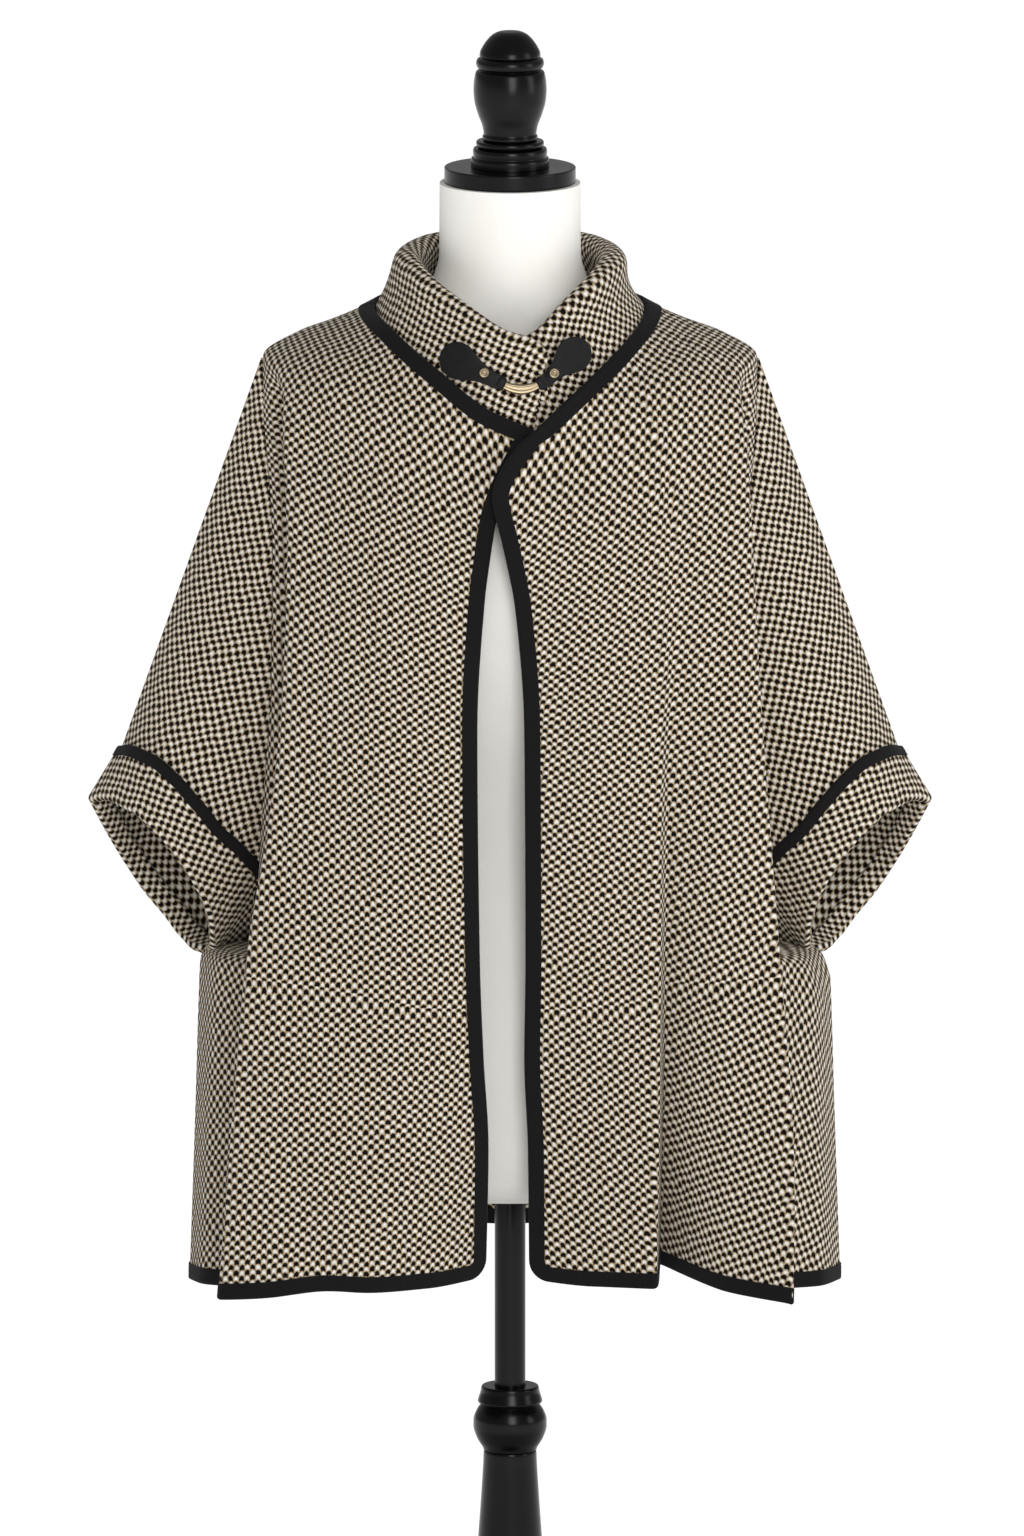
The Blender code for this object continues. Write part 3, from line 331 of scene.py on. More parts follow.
for wood_name, wood_profile in PROFILES.items():
    closed_piece("turned_" + wood_name, turned_points(wood_profile, 96), lacquer,
                 "black_pole" if wood_name == "pole" else "black_wood", wood_name,
                 loop=wood_profile[0][0] > 0, sharp=34)

# ---- Body cloth ----------------------------------------------------------------------------
# Two fronts and a back of a double-faced bird's-eye knit in cream and black wool, 2.5 mm
# thick, joined at the shoulder and side seams. They hang from the shoulders in long folds.
CLOTH = 2.5 * MM
HEM, CHEST, UNDERARM = 680, 1380, 945
SEAM_HALF = 0.35                # half the space left between two sewn edges
OUTWARDS = {"right": -1, "left": 1}
NECK_OVAL = {"side": 113, "front": 121, "back": 88}
# Angle round the neck from its middle, height.
BACK_NECK = ((0, 1474), (45, 1474), (90, 1471))
NECK_HEIGHT = {
    ("front", "right"): ((-10, 1386), (12, 1406), (34, 1436), (53, 1455), (64, 1463), (90, 1471)),
    ("front", "left"): ((9.5, 1385), (13.4, 1390), (18, 1398), (22.4, 1406.5), (37, 1427.5),
                        (53, 1446), (64, 1456), (90, 1471)),
    ("back", "right"): BACK_NECK, ("back", "left"): BACK_NECK,
}
THROAT_LAP, LAP_OVER = 9, 45    # how far the left front stands off there, and over what angle
# Nine landmark lines run from the neckline to the hem of each half: the centre edge, the
# pleat, the shoulder fold, the armhole and side seam. For each, its share of the way along
# the neckline, and out, forward and height where it turns down.
TURNING = {
    "front": (
        (0, 0, 128, 1344), (.20, 44, 124, 1356), (.42, 88, 114, 1373), (.58, 116, 103, 1386),
        (.74, 149, 84, 1405), (.86, 181, 54, 1418), (.92, 191, 32, 1424), (.96, 198, 16, 1426),
        (1, 201, 0, 1428)),
    "back": (
        (0, 0, 105, 1412), (.20, 40, 104, 1412), (.42, 82, 99, 1413), (.58, 112, 92, 1415),
        (.74, 148, 75, 1418), (.86, 180, 48, 1422), (.92, 191, 30, 1425), (.96, 198, 15, 1427),
        (1, 201, 0, 1428)),
}
# The height from which each line hangs free.
FREE_FROM = {
    "front": (1296, 1308, 1330, 1346, 1364, 1376, 1380, 1380, 1380),
    "back": (1370, 1370, 1370, 1372, 1376, 1380, 1380, 1380, 1380),
}
# Height, out, forward.
BACK_CENTRE = ((1380, 0, 111), (1280, 0, 121), (1060, 0, 134), (850, 0, 146), (680, 0, 156))
CENTRE_EDGE = {
    ("front", "right"): (
        (1386, -19.6, 119.5), (1380, -15.5, 120.5), (1358, -3, 124), (1338, 6.5, 128),
        (1318, 13, 130), (1285, 18.5, 133), (1250, 23, 136), (1143, 29, 141), (952, 27, 143),
        (870, 24, 142), (794, 20, 138), (680, 22, 130)),
    ("front", "left"): (
        (1385, 18.6, 128.7), (1378.4, 10.5, 131), (1370, 3.4, 134), (1361.7, -2.6, 136.8),
        (1353, -7.5, 138.8), (1345, -10.7, 139.8), (1337, -12, 140.3), (1329, -11.3, 140.7),
        (1320, -9.3, 141), (1303, -5, 141.4), (1287, -1.3, 141.7), (1270, 2.3, 141.9),
        (1250, 6, 142), (1143, 14, 142), (952, 15, 143), (870, 14, 142), (794, 17, 138),
        (680, 18, 130)),
    ("back", "right"): BACK_CENTRE, ("back", "left"): BACK_CENTRE,
}
# Height, out, forward, depth behind it.
SHOULDER_FOLD = {
    ("front", "right"): (
        (1380, 184, 70, 28), (1280, 180.5, 99, 40), (1170, 184.5, 118, 48), (1060, 196.5, 131, 50),
        (970, 212, 142, 48), (770, 230, 163, 50), (680, 237, 171, 55)),
    ("front", "left"): (
        (1380, 192, 70, 28), (1280, 197, 99, 40), (1170, 203, 118, 48), (1060, 211, 132, 50),
        (970, 218, 143, 48), (770, 231, 165, 56), (680, 230, 177, 66)),
    ("back", "right"): (
        (1380, 187, 64, 24), (1280, 190, 92, 34), (1170, 196, 108, 40), (1060, 204, 119, 44),
        (970, 212, 128, 44), (770, 225, 150, 46), (680, 231, 158, 50)),
    ("back", "left"): (
        (1380, 189, 64, 24), (1280, 194, 90, 32), (1170, 199, 105, 38), (1060, 208, 117, 42),
        (970, 215, 127, 44), (770, 226, 146, 44), (680, 229, 156, 46)),
}
# Height, out of the ridge, out of the dip, depth of the dip, bow forward.
PLEAT = {
    ("front", "right"): (
        (1380, 98, 116, 0, 12), (1235, 96, 122, 1, 15), (1100, 98, 128, 2, 17),
        (900, 104, 136, 3, 22), (680, 112, 150, 4, 32)),
    ("front", "left"): (
        (1380, 110, 130, 0, 12), (1235, 120, 136, 5, 14), (1100, 119, 129, 12, 12),
        (850, 120, 125, 28, 4), (680, 118, 122, 60, -4)),
    ("back", "right"): (
        (1380, 84, 112, 0, 12), (1200, 88, 116, 4, 16), (1000, 92, 120, 12, 16),
        (820, 96, 124, 24, 14), (680, 98, 126, 38, 12)),
    ("back", "left"): (
        (1380, 80, 106, 0, 12), (1200, 80, 108, 3, 16), (1000, 84, 112, 8, 18),
        (820, 90, 122, 18, 18), (680, 92, 128, 26, 18)),
}
BOW_POWER = 0.8
INNER_SHARE, OUTER_SHARE, OUTER_DIP = 0.5, 0.52, 0.12   # of the lines beside the pleat
# Height, out, forward on a front, forward on a back.
ARM_AND_SIDE = (
    (1380, 200, 20, -18), (1280, 193, 44, -38), (1170, 194, 55, -46), (1060, 202, 54, -48),
    (985, 206, 34, -32), (945, 208, 0, 0), (944, 223, 0, 0), (941, 241, 0, 0), (937, 250, 0, 0),
    (930, 253, 1, 1), (900, 254.5, 9, 9), (820, 257, 18, 18), (680, 262, 40, 40),
)
SIDE_WIDER_LEFT, WIDER_OVER = 8, 30     # and over what height below the underarm
VALLEY_IN, VALLEY_SLANT = 7, 0.06       # of the line behind the shoulder fold
TURN_SHARE = (0.72, 0.5)                # of the way from it to the side seam, out and forward
BACK_HEM = (676, 676, 676, 676, 676, 675, 674, 672, 670)
HEM_HEIGHT = {
    ("front", "right"): (690, 687, 687, 689, 684, 680, 678, 674, 670),
    ("front", "left"): (688, 684, 684, 693, 683, 677, 675, 672, 670),
    ("back", "right"): BACK_HEM, ("back", "left"): BACK_HEM,
}
EDGE, INNER, RIDGE, DIP, OUTER, CREST, VALLEY, _, SEAM = range(9)
# Places down: share of the way to the turning point, and how much of the drop is made there
# from LEVEL_FROM on; nearer the centre the line falls evenly.
BETWEEN = ((0.25, 0.38, 0.30), (0.5, 0.72, 0.56))
LEVEL_FROM = 0.74
TURNED, FREE_PLACES = 0.75, (1, 1.12, 1.24)


def by_height(table, height):
    """A table read at heights; its first column is a falling height."""
    return read(table[::-1], height)


def hanging_line(face, side, line, height):
    """Out and forward of one landmark line below the chest.

    Between the centre edge and the shoulder fold a line stands on their chord, bowed forward
    by a half sine, less its dip; behind the fold it drops back to the side seam.
    """
    edge = by_height(CENTRE_EDGE[face, side], height)
    if line == EDGE:
        return edge
    crest_out, crest_forward, depth = by_height(SHOULDER_FOLD[face, side], height).T
    if line == CREST:
        return np.column_stack([crest_out, crest_forward])
    if line > CREST:
        seam_out, seam_front, seam_back = by_height(ARM_AND_SIDE, height).T
        if side == "left":
            below = np.clip((UNDERARM - height) / WIDER_OVER, 0, 1)
            seam_out = seam_out + SIDE_WIDER_LEFT * below
        seam_forward = (seam_front if face == "front" else -seam_back) + SEAM_HALF
        seam = np.column_stack([seam_out, seam_forward])
        if line == SEAM:
            return seam
        valley = np.column_stack([crest_out - VALLEY_IN - VALLEY_SLANT * depth,
                                  crest_forward - depth])
        return valley if line == VALLEY else valley + (seam - valley) * TURN_SHARE
    ridge_out, dip_out, dip_depth, bow = by_height(PLEAT[face, side], height).T
    out = {INNER: edge[:, 0] + INNER_SHARE * (ridge_out - edge[:, 0]), RIDGE: ridge_out,
           DIP: dip_out, OUTER: dip_out + OUTER_SHARE * (crest_out - dip_out)}[line]
    share = (out - edge[:, 0]) / (crest_out - edge[:, 0])
    forward = (edge[:, 1] + (crest_forward - edge[:, 1]) * share
               + bow * np.sin(math.pi * share)**BOW_POWER)
    return np.column_stack([out, forward - dip_depth * {DIP: 1.0, OUTER: OUTER_DIP}.get(line, 0)])


def landmark_line(face, side, line, down):
    """One landmark line in metres, at places down: 0 at the neckline, 1 free, 2 at the hem."""
    along, *turning = TURNING[face][line]
    first = NECK_HEIGHT[face, side][0][0]
    angle = first + (90 - first) * along
    lapped = (face, side) == ("front", "left")
    lap = THROAT_LAP * max(0, 1 - (angle - first) / LAP_OVER)**2 if lapped else 0
    neck = np.array([NECK_OVAL["side"] * math.sin(math.radians(angle)),
                     NECK_OVAL[face] * math.cos(math.radians(angle)) + SEAM_HALF + lap,
                     read(NECK_HEIGHT[face, side], angle)[0, 0]])
    turning = np.array(turning, float)
    if line == EDGE and face == "front":
        turning[:2] = by_height(CENTRE_EDGE[face, side], turning[2])[0]
    if line == SEAM:
        turning[1] = SEAM_HALF
    start, hem = FREE_FROM[face][line], HEM_HEIGHT[face, side][line]

    def free(place):
        nominal = start - (place - 1) * (start - HEM)
        return np.column_stack([hanging_line(face, side, line, nominal),
                                nominal + (hem - HEM) * (place - 1)**4])

    level = min(1.0, along / LEVEL_FROM)
    fall = np.array([[share, share, share + (drop - share) * level] for _, share, drop in BETWEEN])
    knots = np.concatenate([[neck], neck + (turning - neck) * fall, [turning],
                            free(np.array(FREE_PLACES))])
    places = [0, *(place for place, _, _ in BETWEEN), TURNED, *FREE_PLACES]
    upper = smooth_through(places, knots, np.minimum(down, FREE_PLACES[-1]))
    if line == EDGE and face == "front":
        upper[:, :2] = by_height(CENTRE_EDGE[face, side], upper[:, 2])
    lower = free(np.maximum(down, 1))
    forwards = -1 if face == "front" else 1
    return (np.where(down[:, None] < 1, upper, lower)
            * [OUTWARDS[side] * MM, forwards * MM, MM])


def half_cloth(face, side, across, down):
    """Half of the body cloth: its nine landmark lines, joined smoothly at each place down."""
    lines = np.stack([landmark_line(face, side, line, down) for line in range(9)])
    return smooth_through(range(9), lines, across).transpose(1, 0, 2)


def down_at(height):
    """How far down the cloth a height below the chest lies."""
    return 1 + (CHEST - height) / (CHEST - HEM)


def runs(*stops):
    """Rising places: from each stop to the next, in the number of steps that stands between."""
    return np.concatenate([np.linspace(stops[i], stops[i + 2], stops[i + 1], endpoint=False)
                           for i in range(0, len(stops) - 1, 2)] + [[stops[-1]]])


# Places down and across at which the grids are worked out, closer at the underarm, the hem and
# the free edge.
DOWN = runs(0, 54, 1, 60, down_at(955), 22, down_at(898), 36, down_at(700), 12, 2)
ACROSS = runs(0, 12, 0.3, 104, 8)
HALF_BACK = runs(0, 84, 8)


LEAST_WEIGHT = 0.05             # of an edge that two wide angles face
COARSE = 40, 30                 # the most rows and columns that are laid flat
BESIDE = 4                      # rows between the two points that say which way is upright


def lay_flat(points, turns=50):
    """Plan of a curved sheet with its triangles as near their true shape as they go.

    By turns, each triangle is turned to fit the plan best, and the plan is solved for the
    least squares of its edges against the turned ones.
    """
    rows, columns = points.shape[:2]
    number = np.arange(rows * columns).reshape(rows, columns)
    a, b, c, d = number[:-1, :-1], number[:-1, 1:], number[1:, 1:], number[1:, :-1]
    tri = np.concatenate([np.stack(corners, -1).reshape(-1, 3)
                          for corners in ((a, b, c), (a, c, d))])
    corner = points.reshape(-1, 3)[tri]
    side_b, side_c = corner[:, 1] - corner[:, 0], corner[:, 2] - corner[:, 0]
    base = np.linalg.norm(side_b, axis=1)
    double = np.linalg.norm(np.cross(side_b, side_c), axis=1)
    own = np.zeros((len(tri), 3, 2))
    own[:, 1, 0] = base
    own[:, 2, 0] = (side_b * side_c).sum(1) / base
    own[:, 2, 1] = double / base
    edge = own[:, [1, 2, 0]] - own
    facing = -(edge[:, [2, 0, 1]] * edge[:, [1, 2, 0]]).sum(-1)
    weight = np.maximum(facing / double[:, None], LEAST_WEIGHT)
    start, end = tri, tri[:, [1, 2, 0]]
    laplace = np.zeros((number.size, number.size))
    np.add.at(laplace, (start, start), weight)
    np.add.at(laplace, (end, end), weight)
    np.add.at(laplace, (start, end), -weight)
    np.add.at(laplace, (end, start), -weight)
    laplace[0, 0] += 1
    inverse = np.linalg.inv(laplace)
    plan = arc_uv(points).reshape(-1, 2)
    for _ in range(turns):
        now = plan[end] - plan[start]
        fit = np.einsum("tei,tej,te->tij", now, edge, weight)
        turn = np.arctan2(fit[:, 1, 0] - fit[:, 0, 1], fit[:, 0, 0] + fit[:, 1, 1])
        cos, sin = np.cos(turn), np.sin(turn)
        spun = np.stack([cos, -sin, sin, cos], -1).reshape(-1, 2, 2)
        turned = np.einsum("tij,tej->tei", spun, edge)
        pull = np.zeros_like(plan)
        np.add.at(pull, end, turned * weight[..., None])
        np.add.at(pull, start, -turned * weight[..., None])
        plan = inverse @ pull
    return plan.reshape(rows, columns, 2)


def flat_plan(points, turn, grain_row, grain_column):
    """Plan of a fine grid, worked out on some of its lines, with one line of it upright.

    turn is the angle in degrees of the knit's rows to that line at the given shares of the
    way down and across.
    """
    rows, columns = points.shape[:2]
    row, column = (np.unique(np.rint(np.linspace(0, fine - 1, coarse)).astype(int))
                   for fine, coarse in zip((rows, columns), COARSE))
    plan = lay_flat(points[row][:, column])
    down, across = lengths(points, 0).mean(1), lengths(points, 1).mean(0)
    plan = smooth_through(down[row], plan, down)
    plan = smooth_through(across[column], plan.transpose(1, 0, 2), across).transpose(1, 0, 2)
    r, c = round(grain_row * (rows - 1)), round(grain_column * (columns - 1))
    way = plan[min(r + BESIDE, rows - 1), c] - plan[r - BESIDE, c]
    angle = math.atan2(way[0], way[1]) + math.radians(turn)
    spin = np.array([[math.cos(angle), math.sin(angle)], [-math.sin(angle), math.cos(angle)]])
    return plan @ spin


def at(grid, row, column):
    """A grid read between its points, at arrays of rows and columns that need not be whole."""
    r = np.clip(np.floor(row).astype(int), 0, grid.shape[0] - 2)
    c = np.clip(np.floor(column).astype(int), 0, grid.shape[1] - 2)
    s, t = (row - r)[..., None], (column - c)[..., None]
    return ((grid[r, c] * (1 - t) + grid[r, c + 1] * t) * (1 - s)
            + (grid[r + 1, c] * (1 - t) + grid[r + 1, c + 1] * t) * s)


def rounded_corner(points, radius):
    """Rows and columns at which to read a grid so that its lower first corner is round.

    The square at the corner is mapped to a quarter of a disc: x*sqrt(1 - y^2/2) and
    y*sqrt(1 - x^2/2), with x and y from 0 to 1 towards the two cut edges.
    """
    from_side = lengths(points, 1)
    from_hem = lengths(points[::-1], 0)[::-1]
    x, y = np.clip(1 - from_side / radius, 0, 1), np.clip(1 - from_hem / radius, 0, 1)
    in_by, up_by = x - x * np.sqrt(1 - y**2 / 2), y - y * np.sqrt(1 - x**2 / 2)
    row, column = np.indices(points.shape[:2]).astype(float)
    return (row + up_by * radius / np.gradient(from_hem, axis=0),
            column + in_by * radius / np.gradient(from_side, axis=1))


# Wool bird's-eye knit: cream stitches stand proud of black ones in a chessboard of 4.4 by
# 4.1 mm. Each is a soft oval of slightly hairy yarn, so the cloth is matte and uneven: its
# fibres are under 1 mm wide, its rows wander over 14 mm and its shade over 8 mm.
STITCH_WIDE, STITCH_HIGH = 4.4 * MM, 4.1 * MM
DRIFT = 3.8 * MM                # the most that a stitch strays
knit = new_material("birdseye_double_knit_wool", Roughness=0.95, Sheen_Weight=0.06,
                    Sheen_Roughness=0.5, Specular_IOR_Level=0.1)
knit_place = add_node(knit, "UVMap", {}, uv_map="flat")
drift = add_node(knit, "TexNoise", {"Vector": knit_place, "Scale": 70.0, "Detail": 1.0})
drift_middle = add_node(knit, "VectorMath", {0: drift.node.outputs["Color"], 1: (0.5, 0.5, 0.5)},
                        operation="SUBTRACT")
knit_moved = add_node(knit, "VectorMath", {0: drift_middle, 1: (DRIFT,) * 3, 2: knit_place},
                      operation="MULTIPLY_ADD")
stitch_turns = (math.pi / STITCH_WIDE, math.pi / STITCH_HIGH, 0)
stitch_turn = add_node(knit, "VectorMath", {0: knit_moved, 1: stitch_turns}, operation="MULTIPLY")
stitch_xy = add_node(knit, "SeparateXYZ", {0: stitch_turn}).node.outputs
stitch_x = add_node(knit, "Math", {0: stitch_xy[0]}, operation="COSINE")
twice_x = add_node(knit, "Math", {0: stitch_xy[0], 1: 2.0}, operation="MULTIPLY")
arch = add_node(knit, "Math", {0: twice_x}, operation="COSINE")
arched_y = add_node(knit, "Math", {0: arch, 1: 0.3, 2: stitch_xy[1]}, operation="MULTIPLY_ADD")
stitch_y = add_node(knit, "Math", {0: arched_y}, operation="COSINE")
stitch = add_node(knit, "Math", {0: stitch_x, 1: stitch_y}, operation="MULTIPLY")
yarn_place = add_node(knit, "VectorMath", {0: knit_place, 1: (1.0, 0.45, 1.0)},
                      operation="MULTIPLY")
yarn = add_node(knit, "TexNoise", {"Vector": yarn_place, "Scale": 1300.0, "Detail": 2.0})
yarn_middle = add_node(knit, "Math", {0: yarn, 1: 0.5}, operation="SUBTRACT")
hairy_stitch = add_node(knit, "Math", {0: yarn_middle, 1: 0.9, 2: stitch}, operation="MULTIPLY_ADD")
stitch_share = add_node(knit, "MapRange", {0: hairy_stitch, 1: -1.0, 2: 1.0})
# The ramp runs from black to cream. Black and cream are the yarns' own colours. The browns between
# them darken the cream towards the edge of each stitch, and they are painted shade where the
# stitches curve down and meet.
stitch_and_shade_ramp = add_node(knit, "ValToRGB", {0: stitch_share})
ramp = stitch_and_shade_ramp.node.color_ramp
for ramp_place, ramp_colour in (
        (0.24, "0B0908"), (0.33, "181310"), (0.40, "54463A"), (0.46, "8E7D63"),
        (0.55, "B3A282"), (1.0, "BBAA8A")):
    ramp_stop = ramp.elements.new(ramp_place)
    ramp_stop.color = linear(ramp_colour)
ramp.elements.remove(ramp.elements[0])
ramp.elements.remove(ramp.elements[-1])
cloud = add_node(knit, "TexNoise", {"Vector": knit_place, "Scale": 120.0, "Detail": 2.0})
cloud_share = add_node(knit, "MapRange", {0: cloud, 3: 0.0, 4: 0.5})
knit_rise = add_node(knit, "MapRange", {0: stitch, 1: -0.9, 2: 0.8},
                     interpolation_type="SMOOTHSTEP")
knit_height = add_node(knit, "Math", {0: yarn_middle, 1: 0.35, 2: knit_rise},
                       operation="MULTIPLY_ADD")
finish(knit, cloud_share, (stitch_and_shade_ramp, "A89A84"), knit_height, 0.75, 1.0 * MM, "MULTIPLY")


def declare_sheet(plan):
    angle = np.radians(np.arange(0, 90, 3))
    cos, sin = np.cos(angle), np.sin(angle)
    turns = np.stack([cos, sin, -sin, cos], -1).reshape(-1, 2, 2)
    sizes = np.ptp(plan.reshape(-1, 2) @ turns, axis=1)
    flat = tuple(round(float(size), 3) for size in sizes[np.argmin(sizes.prod(axis=1))])


def cloth_piece(node, points, plan, ring=False, stretch=0):
    """One cut piece of knit: a sheet through the middle of the cloth, given its wall.

    stretch is how far the drape pulls the stitches from their places in the plan.
    """
    piece = surface("knit_" + node, points, plan + stretch, ring=ring)
    wall = piece.modifiers.new("wall", "SOLIDIFY")
    wall.thickness = CLOTH
    wall.offset = 0
    stand_for(piece, knit, node)
    declare_sheet(plan)


CORNER = 14 * MM                # radius of a front's lower corner
# The fronts hang from the shoulders, so that the knit's rows fall towards the centre over the
# chest. Height in metres, angle of fall.
KNIT_FALL = {
    "right": ((0.66, -7), (0.80, -4), (0.92, 0), (1.08, 6), (1.22, 14), (1.32, 17), (1.40, 9),
              (1.48, 2)),
    "left": ((0.66, -13), (0.80, -12), (0.92, -7), (1.08, 2), (1.22, 12), (1.32, 16), (1.40, 9),
             (1.48, 2)),
}
body = {}
for side in OUTWARDS:
    front_points = half_cloth("front", side, ACROSS, DOWN)
    front_row, front_column = rounded_corner(front_points, CORNER)
    front_plan = flat_plan(front_points, 0, 0.75, 0.3)
    fall = np.tan(np.radians(read(KNIT_FALL[side], front_points[..., 2].ravel())))
    pulled = fall.reshape(front_row.shape) * (front_plan[..., 0] - front_plan[..., 0].mean())
    stretch = np.stack([0 * pulled, pulled], -1)
    cloth_piece("front_" + side, at(front_points, front_row, front_column),
                at(front_plan, front_row, front_column),
                stretch=at(stretch, front_row, front_column))
    body[side] = front_points, front_row, front_column
back_points = np.concatenate([half_cloth("back", "right", HALF_BACK, DOWN)[:, ::-1],
                              half_cloth("back", "left", HALF_BACK, DOWN)[:, 1:]], axis=1)
cloth_piece("back", back_points, flat_plan(back_points, 0, 0.6, 0.5))

# ---- Sleeves and cuffs ---------------------------------------------------------------------
# Short wide sleeves of the same knit cut on the diagonal, sewn round the armhole, each with a
# band turned back over its end. The band's fold is round and soft.
# For the seam and the folded edge: share of the way down from the top; out, forward, height.
CUFF_SEAM = {
    "front": (
        (0, 318, 0, 1102), (.15, 306, 25, 1107), (.28, 290, 45, 1104), (.42, 271, 58, 1090),
        (.56, 253, 63, 1070), (.70, 237, 63, 1050), (.84, 216, 52, 1027), (.94, 204, 33, 1003),
        (1, 207, 0, 950)),
    "back": (
        (0, 318, 0, 1102), (.20, 301, -36, 1062), (.42, 276, -56, 1022), (.60, 254, -58, 990),
        (.80, 235, -44, 964), (.93, 214, -18, 953), (1, 207, 0, 950)),
}
CUFF_EDGE = {
    "front": (
        (0, 342, 0, 1062), (.15, 327, 20, 1067), (.28, 306, 45, 1061), (.42, 286, 58, 1045),
        (.56, 268, 60, 1022), (.70, 253, 54, 995), (.84, 244, 37, 963), (.94, 243, 18, 943),
        (1, 247, 0, 935)),
    "back": (
        (0, 342, 0, 1062), (.20, 324, -30, 1022), (.42, 303, -50, 984), (.60, 284, -50, 960),
        (.80, 268, -35, 942), (.93, 256, -14, 935), (1, 247, 0, 935)),
}
CUFF_SHARE = 0.86               # where the cuff seam lies between armhole and folded edge
ARM_CLEAR, UNDERARM_CLEAR = 1.2 * MM, 2.4 * MM
CUFF_OFF = 2.9 * MM             # from the middle of the sleeve's wall to the middle of the cuff's
CUFF_INSIDE = 14 * MM           # how far the turned edge runs back inside the sleeve


def round_the_arm(front, back):
    """A closed line: down one line and up another, with top and underarm on the side line."""
    ring = np.concatenate([front, back[-2::-1]])
    ring[-1] = ring[0]
    ring[[0, -1, len(front) - 1], 1] = 0
    return ring


def sleeve_ring(side, table, shares):
    """A line round the sleeve from a table, read at shares of the way down each face."""
    lines = []
    for face in ("front", "back"):
        out, forward, height = read(table[face], shares[face]).T
        lines.append(np.column_stack([OUTWARDS[side] * out, -forward, height]) * MM)
    return round_the_arm(*lines)


def sleeve_points(side, rows):
    """Rings from the armhole to the folded edge, on straight lines to the cuff seam and beyond."""
    arm_down = np.linspace(TURNED, down_at(UNDERARM), 56)
    arm, shares = [], {}
    for face in ("front", "back"):
        line = landmark_line(face, side, SEAM, arm_down)
        line[:, 0] += OUTWARDS[side] * ARM_CLEAR
        line[:, 2] += UNDERARM_CLEAR * np.linspace(0, 1, len(line))**8
        shares[face] = lengths(line, 0) / lengths(line, 0)[-1]
        arm.append(line)
    arm = round_the_arm(*arm)
    seam, edge = sleeve_ring(side, CUFF_SEAM, shares), sleeve_ring(side, CUFF_EDGE, shares)
    rows = rows[:, None, None]
    return np.where(rows <= CUFF_SHARE, arm + (seam - arm) * (rows / CUFF_SHARE),
                    seam + (edge - seam) * ((rows - CUFF_SHARE) / (1 - CUFF_SHARE)))


def facets_of(points, ring=False):
    """Ways across a grid of points, each as long as that point's share of the area."""
    if ring:
        wide = np.concatenate([points[:, -2:-1], points, points[:, 1:2]], axis=1)
        along = np.gradient(wide, axis=1)[:, 1:-1]
    else:
        along = np.gradient(points, axis=1)
    return np.cross(along, np.gradient(points, axis=0))


cuffs = {}
for side in OUTWARDS:
    to_seam, to_edge = runs(0, 40, CUFF_SHARE), runs(CUFF_SHARE, 12, 1)[1:]
    sleeve = sleeve_points(side, np.concatenate([to_seam, to_edge]))
    cloth_piece("sleeve_" + side, sleeve, flat_plan(sleeve, -5, 0.5, 0.25),
                ring=True)
    under = sleeve_points(side, runs(CUFF_SHARE, 20, 1))
    across_wall = unit(facets_of(under, ring=True) * OUTWARDS[side])
    past = unit(under[-1] - under[-3])
    fold = [under[-1] + (across_wall[-1] * math.cos(bend) + past * math.sin(bend)) * CUFF_OFF
            for bend in np.linspace(0, math.pi, 9)[1:]]
    back_in = [fold[-1] - past * reach for reach in np.linspace(0, CUFF_INSIDE, 5)[1:]]
    cuff = np.concatenate([under + across_wall * CUFF_OFF, fold, back_in])
    cloth_piece("cuff_" + side, cuff, flat_plan(cuff, 45, 0.4, 0.25),
                ring=True)
    cuffs[side] = cuff

# ---- Collar --------------------------------------------------------------------------------
# One wide band of the knit, sewn inside the neckline, standing up and rolled over inwards. The
# roll is fat at the sides and back and sharp at the throat, where the left end laps outside.
# Share of the way round from its outer end; crest out, forward, height; roll; inside drop.
COLLAR = (
    (0.000, 30, 107, 1450, 3, 38), (0.035, 18, 108, 1461, 3, 42), (0.085, -4, 105, 1468, 4, 44),
    (0.150, -33, 92, 1485, 6, 40), (0.230, -66, 65, 1506, 8, 29), (0.320, -84, 12, 1520, 11, 20),
    (0.410, -64, -52, 1522, 11, 20), (0.500, 0, -84, 1523, 11, 21), (0.590, 64, -52, 1522, 11, 20),
    (0.680, 84, 12, 1520, 11, 20), (0.770, 67, 64, 1507, 8, 29), (0.860, 43, 84, 1487, 6, 40),
    (0.930, 22, 96, 1467, 4, 42), (1.000, -4, 98, 1452, 3, 38),
)
COLLAR_TUCK = 4.4 * MM          # how far its foot stands inside the neckline
# How much further its inner end stands in, from what share of the way, and over what share.
INNER_END_TUCK, INNER_END_FROM, INNER_END_OVER = 11 * MM, 0.84, 0.12
# How far its foot reaches down, how far out that ends, and the least share of it there.
FOOT_DROP, FOOT_DROP_ENDS, FOOT_DROP_LEAST = 9 * MM, 98 * MM, 0.1
WALL_BOW, INSIDE_SLANT = 1.6 * MM, 6 * MM
COLLAR_EVENED = 10              # times each line is evened out, so that no corner is left


def evened(lines, times):
    """Lines smoothed by moving each point halfway to the middle of its neighbours."""
    for _ in range(times):
        lines[1:-1] = lines[1:-1] * 0.5 + (lines[:-2] + lines[2:]) * 0.25
    return lines


